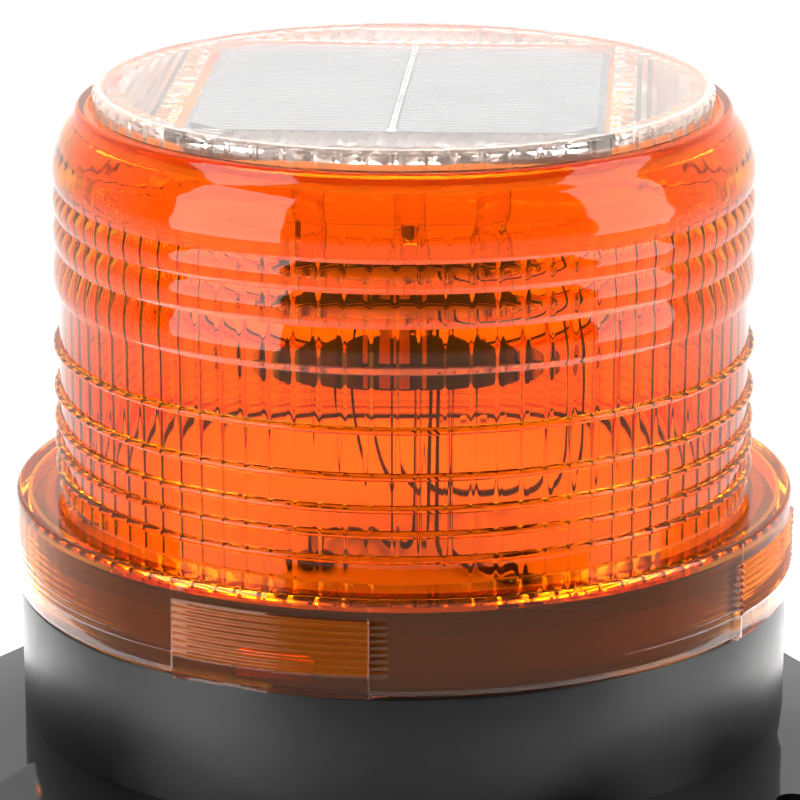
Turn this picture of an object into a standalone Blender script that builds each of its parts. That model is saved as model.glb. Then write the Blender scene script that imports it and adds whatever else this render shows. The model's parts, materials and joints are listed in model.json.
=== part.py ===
"""Solar barricade warning light.

A clear cap over a solar panel closes a ribbed amber lens, which twists off a round black base on four
bayonet lugs. The base holds the battery, the control board and a slide switch, and stands on a flat
mounting plate with three ears. Metres, +Z up, origin on the lens axis at the underside of the plate.
"""
import math

import bmesh
import bpy
from mathutils import Matrix
from mathutils import Vector

MM = 0.001
GAP = 0.3 * MM                  # clearance between pieces that touch
MERGE = 0.00005                 # merge distance of turned outlines
ROUND_STEPS = 40                # facets of the large round parts
SMALL_STEPS = 12                # facets of small round parts and holes
SCREW_STEPS = 10                # facets of a screw

# Mounting plate: a rounded triangle, the hull of three equal circles.
PLATE_T = 4.0 * MM
EAR_REACH = 49.4 * MM           # axis to the centre of an ear's arc
EAR_R = 38.6 * MM
EAR_ANGLES = (-30.0, 90.0, 210.0)
EAR_ARC_POINTS = 14
EAR_HOLE_PITCH_R = 74.7 * MM
EAR_HOLE_SPREAD = 6.4           # degrees to each side of an ear's middle
EAR_HOLE_R = 2.5 * MM
PLATE_EDGE = 0.7 * MM
SEAT_GROOVE_R = (56.9 * MM, 59.9 * MM)      # groove that the housing's foot stands in
SEAT_GROOVE_DEPTH = 0.6 * MM

# Base housing.
HOUSING_R = 59.6 * MM
HOUSING_WALL = 2.4 * MM
SEAT_Z = 24.2 * MM              # shoulder that carries the lens collar
NECK_R = 56.0 * MM
NECK_TOP = 36.8 * MM
NECK_BORE_R = 52.2 * MM
DECK_SEAT_R = 53.8 * MM
DECK_SEAT_Z = 33.1 * MM
SEAL_GROOVE_R = 54.9 * MM
SEAL_Z = 33.9 * MM
SEAL_R = 56.55 * MM
SEAL_SECTION_R = 1.3 * MM

# Amber lens.
COLLAR_R = 60.0 * MM
COLLAR_BOTTOM = 24.5 * MM
COLLAR_TOP = 39.15 * MM
COLLAR_BORE_R = 58.2 * MM
LENS_BORE_R = 51.2 * MM
LIP_R = 49.9 * MM
LIP_TOP = 98.8 * MM
MOUTH_R = 47.65 * MM
LEDGE_R = 44.6 * MM
LEDGE_TOP = 97.4 * MM
UPPER_RIB_CRESTS = ((88.5, 53.5), (84.5, 53.53), (79.7, 53.6), (72.9, 53.7))       # z, radius in mm
UPPER_RIB_VALLEYS = ((92.0, 52.7), (86.5, 53.2), (82.1, 53.05), (77.0, 52.9), (70.0, 52.9))
LOWER_RIB_CRESTS = ((62.0, 53.96), (55.1, 54.0), (50.3, 54.07), (46.5, 54.15), (42.7, 54.2))
LOWER_RIB_VALLEYS = ((64.9, 52.95), (58.2, 53.1), (52.4, 53.5), (48.4, 53.8), (44.4, 53.9))

# Bayonet: four lugs inside the collar, each under a ledge on the neck.
LUG_FIRST_ANGLE = -105.5        # degrees from +X to the front left lug
LUG_SIZE = (2.2 * MM, 12.0 * MM, 2.5 * MM)      # radial, tangential, height
LUG_MID_R = 57.4 * MM
LUG_LOW = 25.5 * MM
BAYONET_LEDGE_SIZE = (2.4 * MM, 16.0 * MM, 2.0 * MM)
BAYONET_LEDGE_MID_R = 56.2 * MM
STOP_WIDTH = 2.0 * MM

# Clear cap and solar panel.
CAP_R = 47.3 * MM
CAP_TOP = 101.55 * MM
CAP_RIM_LOW = LEDGE_TOP + GAP
CAP_WINDOW_T = 2.3 * MM
CAP_POCKET_R = 45.0 * MM
PANEL_X = 61.5 * MM
PANEL_Y = 64.4 * MM
PANEL_CORNER = 2.0 * MM
BACKING_T = 1.6 * MM
CELL_T = 0.4 * MM
CELL_EDGE = 1.0 * MM            # backing left bare round the cells
CELL_CORNER = 5.0 * MM
BUS_HALF_WIDTH = 0.4 * MM

# LED drum, hung from the panel backing on three spacers.
DRUM_R = 22.0 * MM
DRUM_LOW = 62.0 * MM
DRUM_TOP = 67.2 * MM
DRUM_WALL = 2.0 * MM
DRIVER_BOARD_R = 19.4 * MM
SPACER_R = 2.5 * MM
SPACER_PITCH_R = 16.0 * MM
SPACER_ANGLES = (90.0, 210.0, 330.0)
STRIP_T = 0.4 * MM
LED_COUNT = 6
LED_SIZE = (1.1 * MM, 5.0 * MM, 3.6 * MM)

# Deck that closes the base, with what hangs under it.
DECK_R = 53.4 * MM
DECK_T = 1.6 * MM
DECK_LOW = DECK_SEAT_Z + GAP
DECK_TOP = DECK_LOW + DECK_T
DECK_SCREW_PITCH_R = 48.8 * MM
DECK_SCREW_ANGLES = (80.0, 200.0, 320.0)
GROMMET_SPOTS = ((-11.2 * MM, -31.5 * MM), (19.6 * MM, -40.6 * MM))
GROMMET_R = 2.7 * MM
BOARD_T = 1.6 * MM
BOARD_LOW = 23.5 * MM
BOARD_X = (6.0 * MM, 40.0 * MM)
BOARD_Y = (-25.0 * MM, 25.0 * MM)
BOARD_SCREW_INSET = 3.2 * MM
CONNECTOR_SIZE = (10.0 * MM, 7.0 * MM, 5.8 * MM)
CONNECTOR_X = 14.5 * MM
CONNECTOR_Y = 13.0 * MM

# Battery tray with two AA cells side by side.
TRAY_X = -22.0 * MM
TRAY_SIZE = (33.0 * MM, 58.5 * MM, 11.5 * MM)
TRAY_WALL = 1.3 * MM
CELL_R = 7.1 * MM
CELL_LENGTH = 49.2 * MM
CELL_NUB_LENGTH = 1.0 * MM
CELL_NUB_R = 2.6 * MM
CELL_SPACING = 15.2 * MM
CONTACT_T = 0.5 * MM
SPRING_LENGTH = 3.2 * MM

# Slide switch on the plate, worked from below.
SWITCH_X = 22.0 * MM
SWITCH_TRAVEL = 4.0 * MM
SWITCH_BODY_SIZE = (16.0 * MM, 8.0 * MM, 5.0 * MM)
SWITCH_EAR_SIZE = (26.0 * MM, 8.0 * MM, 1.3 * MM)
SWITCH_SCREW_OFFSET = 10.6 * MM
KNOB_CAP_SIZE = (5.0 * MM, 6.0 * MM, 2.4 * MM)
KNOB_STEM_SIZE = (3.0 * MM, 2.6 * MM)
KNOB_LOW = 0.8 * MM
WINDOW_X = (18.5 * MM, 29.5 * MM)
WINDOW_HALF_Y = 4.0 * MM

# Fasteners.
PLATE_SCREW_PITCH_R = 53.0 * MM
PLATE_SCREW_ANGLES = (30.0, 150.0, 270.0)
PLATE_BOSS_R = 4.6 * MM

WIRE_R = 0.6 * MM
SWITCH_WIRE_R = 0.8 * MM

# Wire routes in millimetres.
LED_LEAD_LEFT = (
    (4.4, -17.0, 62.5), (4.4, -17.2, 60.4), (4.4, -19.0, 56.0), (4.3, -21.5, 50.0), (4.2, -24.0, 43.0),
    (3.6, -25.6, 37.8), (1.4, -25.2, 36.1), (-1.3, -22.0, 35.95), (-4.0, -18.6, 35.95), (-8.0, -18.2, 36.0),
    (-10.6, -21.0, 36.6), (-11.2, -26.5, 38.2), (-11.2, -30.6, 38.6), (-11.2, -31.5, 36.6),
    (-11.2, -31.5, 33.0), (-10.8, -31.3, 30.6), (-6.0, -29.0, 28.8), (4.0, -24.5, 28.2),
    (12.4, -20.5, 28.2), (12.8, -17.0, 28.2),
)
LED_LEAD_RIGHT = (
    (6.8, -17.0, 62.5), (6.8, -17.2, 60.4), (6.8, -19.2, 56.0), (6.8, -22.5, 49.0), (6.8, -26.0, 42.0),
    (7.2, -28.6, 37.4), (9.6, -30.6, 36.05), (12.6, -34.0, 35.95), (15.2, -37.8, 36.6), (18.4, -40.4, 38.2),
    (19.6, -40.6, 36.6), (19.6, -40.6, 33.0), (19.4, -39.6, 30.8), (18.4, -33.0, 28.9),
    (16.8, -25.0, 28.3), (16.2, -17.0, 28.2),
)
BATTERY_LEAD_RED = (
    (-14.4, 27.4, 18.0), (-14.0, 27.6, 20.0), (-11.0, 29.0, 24.0), (-3.0, 29.6, 27.4),
    (6.0, 29.0, 28.4), (12.4, 25.4, 28.3), (13.2, 21.0, 28.2), (13.2, 17.0, 28.2),
)
BATTERY_LEAD_BLACK = (
    (-29.6, 27.4, 18.0), (-29.2, 28.0, 20.0), (-25.0, 31.0, 24.0), (-12.0, 35.0, 27.4),
    (2.0, 35.2, 28.6), (13.0, 29.0, 28.4), (16.0, 23.0, 28.2), (16.2, 17.0, 28.2),
)
SWITCH_LEAD = (
    (22.0, 0.0, 10.6), (22.0, 0.4, 12.0), (22.3, 2.6, 16.0), (22.0, 3.4, 20.0), (22.0, 3.4, 22.4),
)
PANEL_LEAD = (
    (7.0, -14.0, 68.2), (6.9, -13.4, 70.6), (7.6, -9.8, 73.4), (12.0, -2.8, 74.4), (19.6, -1.4, 73.4),
    (25.4, -1.2, 69.0), (26.8, -1.2, 62.0), (27.2, -1.4, 52.0), (26.6, -1.8, 44.0), (22.6, -2.0, 39.2),
    (14.0, -2.0, 37.4), (4.6, -2.0, 37.9), (-2.6, -2.0, 41.4), (-7.0, -2.0, 48.0), (-8.4, -2.0, 56.0),
    (-8.6, -2.0, 62.4),
)

COLOURS = {
    # name: (red, green, blue), roughness, metallic
    "amber": ((0.95, 0.24, 0.01), 0.12, 0.0),
    "clear": ((0.86, 0.88, 0.88), 0.08, 0.0),
    "black_satin": ((0.025, 0.025, 0.027), 0.42, 0.0),
    "black_gloss": ((0.012, 0.012, 0.013), 0.08, 0.0),
    "black_rubber": ((0.02, 0.02, 0.02), 0.75, 0.0),
    "white": ((0.78, 0.78, 0.76), 0.45, 0.0),
    "panel_black": ((0.015, 0.015, 0.018), 0.35, 0.0),
    "cell_blue": ((0.02, 0.03, 0.08), 0.12, 0.0),
    "tinned": ((0.75, 0.75, 0.73), 0.3, 1.0),
    "steel": ((0.55, 0.55, 0.56), 0.35, 1.0),
    "board_green": ((0.02, 0.16, 0.06), 0.4, 0.0),
    "led_face": ((0.85, 0.7, 0.25), 0.3, 0.0),
    "cell_wrap": ((0.05, 0.25, 0.12), 0.35, 0.0),
    "ferrite": ((0.08, 0.075, 0.07), 0.6, 0.0),
    "wire_black": ((0.02, 0.02, 0.02), 0.45, 0.0),
    "wire_red": ((0.55, 0.02, 0.015), 0.45, 0.0),
}


def clear_scene():
    for obj in list(bpy.data.objects):
        bpy.data.objects.remove(obj, do_unlink=True)


def new_collection(name):
    collection = bpy.data.collections.new(name)
    bpy.context.scene.collection.children.link(collection)
    return collection


clear_scene()
PARTS = new_collection("barricade_warning_light")
CUTTERS = new_collection("cutters")


def new_empty(name, location):
    empty = bpy.data.objects.new(name, None)
    empty.location = location
    PARTS.objects.link(empty)
    return empty


HEAD = new_empty("head_axis", (0.0, 0.0, 0.0))
KNOB = new_empty("switch_slide_axis", (SWITCH_X, 0.0, KNOB_LOW))


def paint(obj, colour):
    """Give the object a Principled material of its own."""
    rgb, roughness, metallic = COLOURS[colour]
    material = bpy.data.materials.new(obj.name)
    material.use_nodes = True
    shader = material.node_tree.nodes["Principled BSDF"]
    shader.inputs["Base Color"].default_value = (*rgb, 1.0)
    shader.inputs["Roughness"].default_value = roughness
    shader.inputs["Metallic"].default_value = metallic
    obj.data.materials.clear()
    obj.data.materials.append(material)


def part(name, mesh, colour, parent=None):
    """Put a mesh in the parts collection as a named sub-part."""
    obj = bpy.data.objects.new(name, mesh)
    PARTS.objects.link(obj)
    paint(obj, colour)
    if parent is not None:
        obj.parent = parent
        obj.matrix_parent_inverse = parent.matrix_basis.inverted()
    return obj


def cutter(name, mesh):
    obj = bpy.data.objects.new(name, mesh)
    CUTTERS.objects.link(obj)
    obj.hide_render = True
    obj.display_type = "WIRE"
    return obj


def combine(obj, tool, operation):
    modifier = obj.modifiers.new(tool.name, "BOOLEAN")
    modifier.operation = operation
    modifier.object = tool


def at_angle(radius, degrees):
    """Point at a distance from the axis, degrees from +X."""
    angle = math.radians(degrees)
    return radius * math.cos(angle), radius * math.sin(angle)


def turned_mesh(name, outline, closed, steps):
    """Mesh turned about +Z from (radius, z) points that run down the outer side."""
    count = len(outline)
    edges = [(i, i + 1) for i in range(count - 1)]
    if closed:
        edges.append((count - 1, 0))
    mesh = bpy.data.meshes.new(name)
    mesh.from_pydata([(radius, 0.0, z) for radius, z in outline], edges, [])
    turning = bpy.data.objects.new(name + "_outline", mesh)
    CUTTERS.objects.link(turning)
    screw = turning.modifiers.new("Turn", "SCREW")
    screw.axis = "Z"
    screw.steps = steps
    screw.render_steps = steps
    screw.use_smooth_shade = True
    screw.use_merge_vertices = True
    screw.merge_threshold = MERGE
    return baked_mesh(turning, name)


def baked_mesh(obj, name):
    """Evaluated mesh of an object that is then removed."""
    bpy.context.view_layer.update()
    evaluated = obj.evaluated_get(bpy.context.evaluated_depsgraph_get())
    mesh = bpy.data.meshes.new_from_object(evaluated)
    mesh.name = name
    welded = bmesh.new()
    welded.from_mesh(mesh)
    bmesh.ops.remove_doubles(welded, verts=welded.verts, dist=MERGE / 10.0)
    welded.to_mesh(mesh)
    welded.free()
    bpy.data.objects.remove(obj, do_unlink=True)
    return mesh


def repeated_part(name, mesh, places, colour, parent=None):
    """Numbered sub-parts that share a mesh, each as (x, y, turn in degrees)."""
    copies = []
    for number, (x, y, turn) in enumerate(places, 1):
        obj = part("%s_%d" % (name, number), mesh, colour)
        obj.location = (x, y, 0.0)
        obj.rotation_euler = (0.0, 0.0, math.radians(turn))
        obj.parent = parent
        copies.append(obj)
    return copies


def cylinders_mesh(name, spots, segments=SMALL_STEPS):
    """Upright cylinders in one mesh, each as (x, y, low z, high z, radius)."""
    group = bmesh.new()
    for x, y, low, high, radius in spots:
        bmesh.ops.create_cone(
            group,
            cap_ends=True,
            segments=segments,
            radius1=radius,
            radius2=radius,
            depth=high - low,
            matrix=Matrix.Translation((x, y, (low + high) / 2.0)),
        )
    mesh = bpy.data.meshes.new(name)
    group.to_mesh(mesh)
    group.free()
    mesh.shade_smooth()
    mesh.set_sharp_from_angle(angle=math.radians(40.0))
    return mesh


def boxes_mesh(name, boxes):
    """Boxes in one mesh, each as (size, centre matrix)."""
    group = bmesh.new()
    for size, matrix in boxes:
        scale = Matrix.Diagonal((*size, 1.0))
        bmesh.ops.create_cube(group, size=1.0, matrix=matrix @ scale)
    mesh = bpy.data.meshes.new(name)
    group.to_mesh(mesh)
    group.free()
    return mesh


def box_at(size, low_corner):
    centre = [low + length / 2.0 for low, length in zip(low_corner, size)]
    return size, Matrix.Translation(centre)


def radial_box(size, middle_radius, low, degrees):
    """Box whose first side points away from the axis."""
    turn = Matrix.Rotation(math.radians(degrees), 4, "Z")
    return size, turn @ Matrix.Translation((middle_radius, 0.0, low + size[2] / 2.0))


def slab_mesh(name, outline, low, high):
    """Flat outline in X and Y, filled and given a thickness."""
    curve = bpy.data.curves.new(name, "CURVE")
    curve.dimensions = "2D"
    curve.fill_mode = "BOTH"
    curve.extrude = (high - low) / 2.0
    spline = curve.splines.new("POLY")
    spline.points.add(len(outline) - 1)
    for point, (x, y) in zip(spline.points, outline):
        point.co = (x, y, 0.0, 1.0)
    spline.use_cyclic_u = True
    obj = bpy.data.objects.new(name, curve)
    CUTTERS.objects.link(obj)
    mesh = baked_mesh(obj, name)
    mesh.transform(Matrix.Translation((0.0, 0.0, (low + high) / 2.0)))
    return mesh


def bevel_edges(obj, width, segments=2):
    modifier = obj.modifiers.new("Edges", "BEVEL")
    modifier.width = width
    modifier.segments = segments
    modifier.limit_method = "ANGLE"
    modifier.angle_limit = math.radians(50.0)


def smooth_route(points, steps):
    """Points along a smooth curve through the given ones."""
    stops = [Vector(point) for point in points]
    stops = [2.0 * stops[0] - stops[1]] + stops + [2.0 * stops[-1] - stops[-2]]
    route = []
    for before, start, end, after in zip(stops, stops[1:], stops[2:], stops[3:]):
        for step in range(steps):
            t = step / steps
            route.append(0.5 * (
                2.0 * start
                + (end - before) * t
                + (2.0 * before - 5.0 * start + 4.0 * end - after) * t ** 2
                + (3.0 * start - before - 3.0 * end + after) * t ** 3
            ))
    route.append(stops[-2])
    return route


def wire(name, points_mm, radius, colour, parent=None, steps=2):
    """Round wire along a smooth route through hand-placed points."""
    add_tube(name, smooth_route([Vector(point) * MM for point in points_mm], steps), radius, colour, parent)


def add_tube(name, route, radius, colour, parent=None):
    curve = bpy.data.curves.new(name, "CURVE")
    curve.dimensions = "3D"
    curve.bevel_depth = radius
    curve.bevel_resolution = 2
    curve.use_fill_caps = True
    spline = curve.splines.new("POLY")
    spline.points.add(len(route) - 1)
    for point, place in zip(spline.points, route):
        point.co = (*place, 1.0)
    return part(name, curve, colour, parent)


def screw_mesh(name, shank_r, head_r, head_low, head_high, tip):
    """Screw with its head below and its shank pointing up."""
    outline = [
        (0.0, tip),
        (shank_r, tip - shank_r / 2.0),
        (shank_r, head_high),
        (head_r, head_high),
        (head_r, head_low),
        (0.0, head_low),
    ]
    return turned_mesh(name, outline, False, SCREW_STEPS)


def ring_places(radius, angles):
    return [(*at_angle(radius, angle), angle) for angle in angles]


def upright_places(spots):
    return [(x, y, 0.0) for x, y in spots]


def hole_spots(radius, angles, low, high, hole_r):
    return [(*at_angle(radius, angle), low, high, hole_r) for angle in angles]


# ---------------------------------------------------------------- base

def add_mounting_plate():
    outline = []
    for middle in EAR_ANGLES:
        centre_x, centre_y = at_angle(EAR_REACH, middle)
        for step in range(EAR_ARC_POINTS + 1):
            angle = middle - 60.0 + 120.0 * step / EAR_ARC_POINTS
            x, y = at_angle(EAR_R, angle)
            outline.append((centre_x + x, centre_y + y))
    plate = part("mounting_plate", slab_mesh("mounting_plate", outline, 0.0, PLATE_T), "black_gloss")
    bevel_edges(plate, PLATE_EDGE)
    holes = []
    for middle in EAR_ANGLES:
        pair = (middle - EAR_HOLE_SPREAD, middle + EAR_HOLE_SPREAD)
        holes += hole_spots(EAR_HOLE_PITCH_R, pair, -1.0 * MM, PLATE_T + 1.0 * MM, EAR_HOLE_R)
    holes += hole_spots(PLATE_SCREW_PITCH_R, PLATE_SCREW_ANGLES, 1.0 * MM, PLATE_T + 1.0 * MM, 1.7 * MM)
    for side in (-1.0, 1.0):
        holes.append((SWITCH_X + side * SWITCH_SCREW_OFFSET, 0.0, 1.3 * MM, PLATE_T + 1.0 * MM, 1.3 * MM))
    combine(plate, cutter("plate_holes", cylinders_mesh("plate_holes", holes)), "DIFFERENCE")
    sinks = hole_spots(PLATE_SCREW_PITCH_R, PLATE_SCREW_ANGLES, -1.0 * MM, 2.2 * MM, 3.5 * MM)
    combine(plate, cutter("screw_sinks", cylinders_mesh("screw_sinks", sinks)), "DIFFERENCE")
    size = (WINDOW_X[1] - WINDOW_X[0], 2.0 * WINDOW_HALF_Y, PLATE_T + 2.0 * MM)
    window = boxes_mesh("switch_window", [box_at(size, (WINDOW_X[0], -WINDOW_HALF_Y, -1.0 * MM))])
    combine(plate, cutter("switch_window", window), "DIFFERENCE")
    groove_r, groove_end_r = SEAT_GROOVE_R
    low = PLATE_T - SEAT_GROOVE_DEPTH
    high = PLATE_T + 1.0 * MM
    outline = [(groove_end_r, high), (groove_end_r, low), (groove_r, low), (groove_r, high)]
    groove = turned_mesh("seat_groove", outline, True, ROUND_STEPS)
    combine(plate, cutter("seat_groove", groove), "DIFFERENCE")


def add_base_housing():
    foot = PLATE_T - SEAT_GROOVE_DEPTH + GAP
    wall_r = HOUSING_R - HOUSING_WALL
    step_z = SEAT_Z - HOUSING_WALL
    groove_half = 1.5 * MM
    chamfer = 0.5 * MM
    outline = [
        (NECK_R - chamfer, NECK_TOP),
        (NECK_R, NECK_TOP - chamfer),
        (NECK_R, SEAL_Z + groove_half),
        (SEAL_GROOVE_R, SEAL_Z + groove_half),
        (SEAL_GROOVE_R, SEAL_Z - groove_half),
        (NECK_R, SEAL_Z - groove_half),
        (NECK_R, SEAT_Z),
        (HOUSING_R - chamfer, SEAT_Z),
        (HOUSING_R, SEAT_Z - chamfer),
        (HOUSING_R - 0.1 * MM, foot),
        (wall_r, foot),
        (wall_r, step_z),
        (NECK_BORE_R, step_z),
        (NECK_BORE_R, DECK_SEAT_Z),
        (DECK_SEAT_R, DECK_SEAT_Z),
        (DECK_SEAT_R, NECK_TOP),
    ]
    housing = part("base_housing", turned_mesh("base_housing", outline, True, ROUND_STEPS), "black_satin")
    boss_low = PLATE_T + 2.6 * MM
    bosses = hole_spots(PLATE_SCREW_PITCH_R, PLATE_SCREW_ANGLES, boss_low, 18.0 * MM, PLATE_BOSS_R)
    bosses += hole_spots(DECK_SCREW_PITCH_R, DECK_SCREW_ANGLES, 24.0 * MM, DECK_SEAT_Z - 0.1 * MM, 4.0 * MM)
    combine(housing, cutter("housing_bosses", cylinders_mesh("housing_bosses", bosses)), "UNION")
    ledges = []
    stops = []
    ledge_low = LUG_LOW + LUG_SIZE[2] + 0.6 * MM
    stop_size = (BAYONET_LEDGE_SIZE[0] - 0.3 * MM, STOP_WIDTH, ledge_low - SEAT_Z + 0.5 * MM)
    for quarter in range(4):
        angle = LUG_FIRST_ANGLE + 90.0 * quarter
        ledges.append(radial_box(BAYONET_LEDGE_SIZE, BAYONET_LEDGE_MID_R, ledge_low, angle))
        size, place = radial_box(stop_size, BAYONET_LEDGE_MID_R, SEAT_Z - 0.2 * MM, angle)
        shift = -LUG_SIZE[1] / 2.0 - 1.3 * GAP - STOP_WIDTH / 2.0
        stops.append((size, place @ Matrix.Translation((0.0, shift, 0.0))))
    combine(housing, cutter("bayonet_ledges", boxes_mesh("bayonet_ledges", ledges)), "UNION")
    combine(housing, cutter("bayonet_stops", boxes_mesh("bayonet_stops", stops)), "UNION")
    holes = hole_spots(PLATE_SCREW_PITCH_R, PLATE_SCREW_ANGLES, boss_low - 1.0 * MM, 16.2 * MM, 1.7 * MM)
    holes += hole_spots(DECK_SCREW_PITCH_R, DECK_SCREW_ANGLES, 25.5 * MM, DECK_TOP, 1.5 * MM)
    combine(housing, cutter("housing_holes", cylinders_mesh("housing_holes", holes)), "DIFFERENCE")


def add_seals():
    inner = 55.1 * MM
    outer = 56.9 * MM
    low = PLATE_T + GAP
    high = low + 2.0 * MM
    outline = [(outer, high), (outer, low), (inner, low), (inner, high)]
    part("base_gasket", turned_mesh("base_gasket", outline, True, ROUND_STEPS), "black_rubber")
    section = []
    for step in range(8):
        angle = -2.0 * math.pi * step / 8.0
        section.append((SEAL_R + SEAL_SECTION_R * math.cos(angle), SEAL_Z + SEAL_SECTION_R * math.sin(angle)))
    part("lens_seal", turned_mesh("lens_seal", section, True, ROUND_STEPS), "black_rubber")


def board_screw_spots():
    """Two opposite corners of the control board."""
    return (
        (BOARD_X[0] + BOARD_SCREW_INSET, BOARD_Y[1] - BOARD_SCREW_INSET),
        (BOARD_X[1] - BOARD_SCREW_INSET, BOARD_Y[0] + BOARD_SCREW_INSET),
    )


def add_deck():
    outline = [(0.0, DECK_TOP), (DECK_R, DECK_TOP), (DECK_R, DECK_LOW), (0.0, DECK_LOW)]
    deck = part("deck_plate", turned_mesh("deck_plate", outline, False, ROUND_STEPS), "white")
    post_low = BOARD_LOW + BOARD_T + GAP
    posts = [(x, y, post_low, DECK_LOW + 0.5 * MM, 2.5 * MM) for x, y in board_screw_spots()]
    combine(deck, cutter("deck_posts", cylinders_mesh("deck_posts", posts)), "UNION")
    holes = [(x, y, post_low - 1.0 * MM, post_low + 5.2 * MM, 1.5 * MM) for x, y in board_screw_spots()]
    below = DECK_LOW - 1.0 * MM
    above = DECK_TOP + 1.0 * MM
    holes += hole_spots(DECK_SCREW_PITCH_R, DECK_SCREW_ANGLES, below, above, 1.6 * MM)
    holes += [(x, y, below, above, GROMMET_R + GAP) for x, y in GROMMET_SPOTS]
    combine(deck, cutter("deck_holes", cylinders_mesh("deck_holes", holes)), "DIFFERENCE")
    slot_size = (1.2 * MM, 3.4 * MM, DECK_T + 2.0 * MM)
    slots = [box_at(slot_size, (x * MM, -29.7 * MM, below)) for x in (-7.9, -4.9)]
    combine(deck, cutter("deck_slots", boxes_mesh("deck_slots", slots)), "DIFFERENCE")


def add_grommets():
    hole_r = WIRE_R + GAP
    lip_r = GROMMET_R + 1.0 * MM
    lip = DECK_TOP + GAP
    top = lip + 0.9 * MM
    low = DECK_LOW - 0.8 * MM
    outline = [(lip_r, top), (lip_r, lip), (GROMMET_R, lip), (GROMMET_R, low), (hole_r, low), (hole_r, top)]
    grommet = turned_mesh("grommet", outline, True, 12)
    repeated_part("wire_grommet", grommet, upright_places(GROMMET_SPOTS), "black_rubber")


def add_fasteners():
    plate_screw = screw_mesh("plate_screw", 1.4 * MM, 3.1 * MM, GAP, 1.9 * MM, 15.0 * MM)
    repeated_part("plate_screw", plate_screw, ring_places(PLATE_SCREW_PITCH_R, PLATE_SCREW_ANGLES), "steel")
    board_head = BOARD_LOW - GAP
    board_screw = screw_mesh("board_screw", 1.2 * MM, 2.3 * MM, board_head - 1.6 * MM, board_head, 29.5 * MM)
    repeated_part("board_screw", board_screw, upright_places(board_screw_spots()), "steel")
    flip = Matrix.Rotation(math.pi, 4, "X")
    deck_head = DECK_TOP + GAP
    deck_screw = screw_mesh("deck_screw", 1.2 * MM, 2.6 * MM, -deck_head - 1.5 * MM, -deck_head, -27.0 * MM)
    deck_screw.transform(flip)
    repeated_part("deck_screw", deck_screw, ring_places(DECK_SCREW_PITCH_R, DECK_SCREW_ANGLES), "steel")
    ear_top = PLATE_T + GAP + SWITCH_EAR_SIZE[2] + GAP
    switch_screw = screw_mesh("switch_screw", 1.0 * MM, 1.8 * MM, -ear_top - 1.3 * MM, -ear_top, -1.7 * MM)
    switch_screw.transform(flip)
    spots = [(SWITCH_X + side * SWITCH_SCREW_OFFSET, 0.0) for side in (-1.0, 1.0)]
    repeated_part("switch_screw", switch_screw, upright_places(spots), "steel")


def add_control_board():
    size = (BOARD_X[1] - BOARD_X[0], BOARD_Y[1] - BOARD_Y[0], BOARD_T)
    board_mesh = boxes_mesh("control_board", [box_at(size, (BOARD_X[0], BOARD_Y[0], BOARD_LOW))])
    board = part("control_board", board_mesh, "board_green")
    holes = [(x, y, BOARD_LOW - MM, BOARD_LOW + BOARD_T + MM, 1.5 * MM) for x, y in board_screw_spots()]
    combine(board, cutter("board_holes", cylinders_mesh("board_holes", holes)), "DIFFERENCE")
    under = BOARD_LOW - GAP
    chip_size = (5.0 * MM, 6.2 * MM, 1.6 * MM)
    chip = boxes_mesh("controller_chip", [box_at(chip_size, (28.0 * MM, 8.0 * MM, under - chip_size[2]))])
    bevel_edges(part("controller_chip", chip, "panel_black"), 0.15 * MM, 1)
    can = [(31.5 * MM, -10.0 * MM, under - 10.5 * MM, under, 4.0 * MM)]
    part("filter_capacitor", cylinders_mesh("filter_capacitor", can), "tinned")
    coil_top = under
    coil_r = 4.4 * MM
    core_r = 2.8 * MM
    flange = 1.0 * MM
    height = 6.0 * MM
    outline = [
        (0.0, coil_top),
        (coil_r, coil_top),
        (coil_r, coil_top - flange),
        (core_r, coil_top - flange),
        (core_r, coil_top - height + flange),
        (coil_r, coil_top - height + flange),
        (coil_r, coil_top - height),
        (0.0, coil_top - height),
    ]
    coil = turned_mesh("charge_inductor", outline, False, SMALL_STEPS)
    coil.transform(Matrix.Translation((13.5 * MM, -7.0 * MM, 0.0)))
    part("charge_inductor", coil, "ferrite")
    low = BOARD_LOW + BOARD_T + GAP
    middle = Matrix.Translation((0.0, 0.0, low + CONNECTOR_SIZE[2] / 2.0))
    socket = boxes_mesh("connector", [(CONNECTOR_SIZE, middle)])
    spots = ((CONNECTOR_X, -CONNECTOR_Y), (CONNECTOR_X, CONNECTOR_Y))
    for connector in repeated_part("connector", socket, upright_places(spots), "white"):
        bevel_edges(connector, 0.4 * MM, 1)


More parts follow.
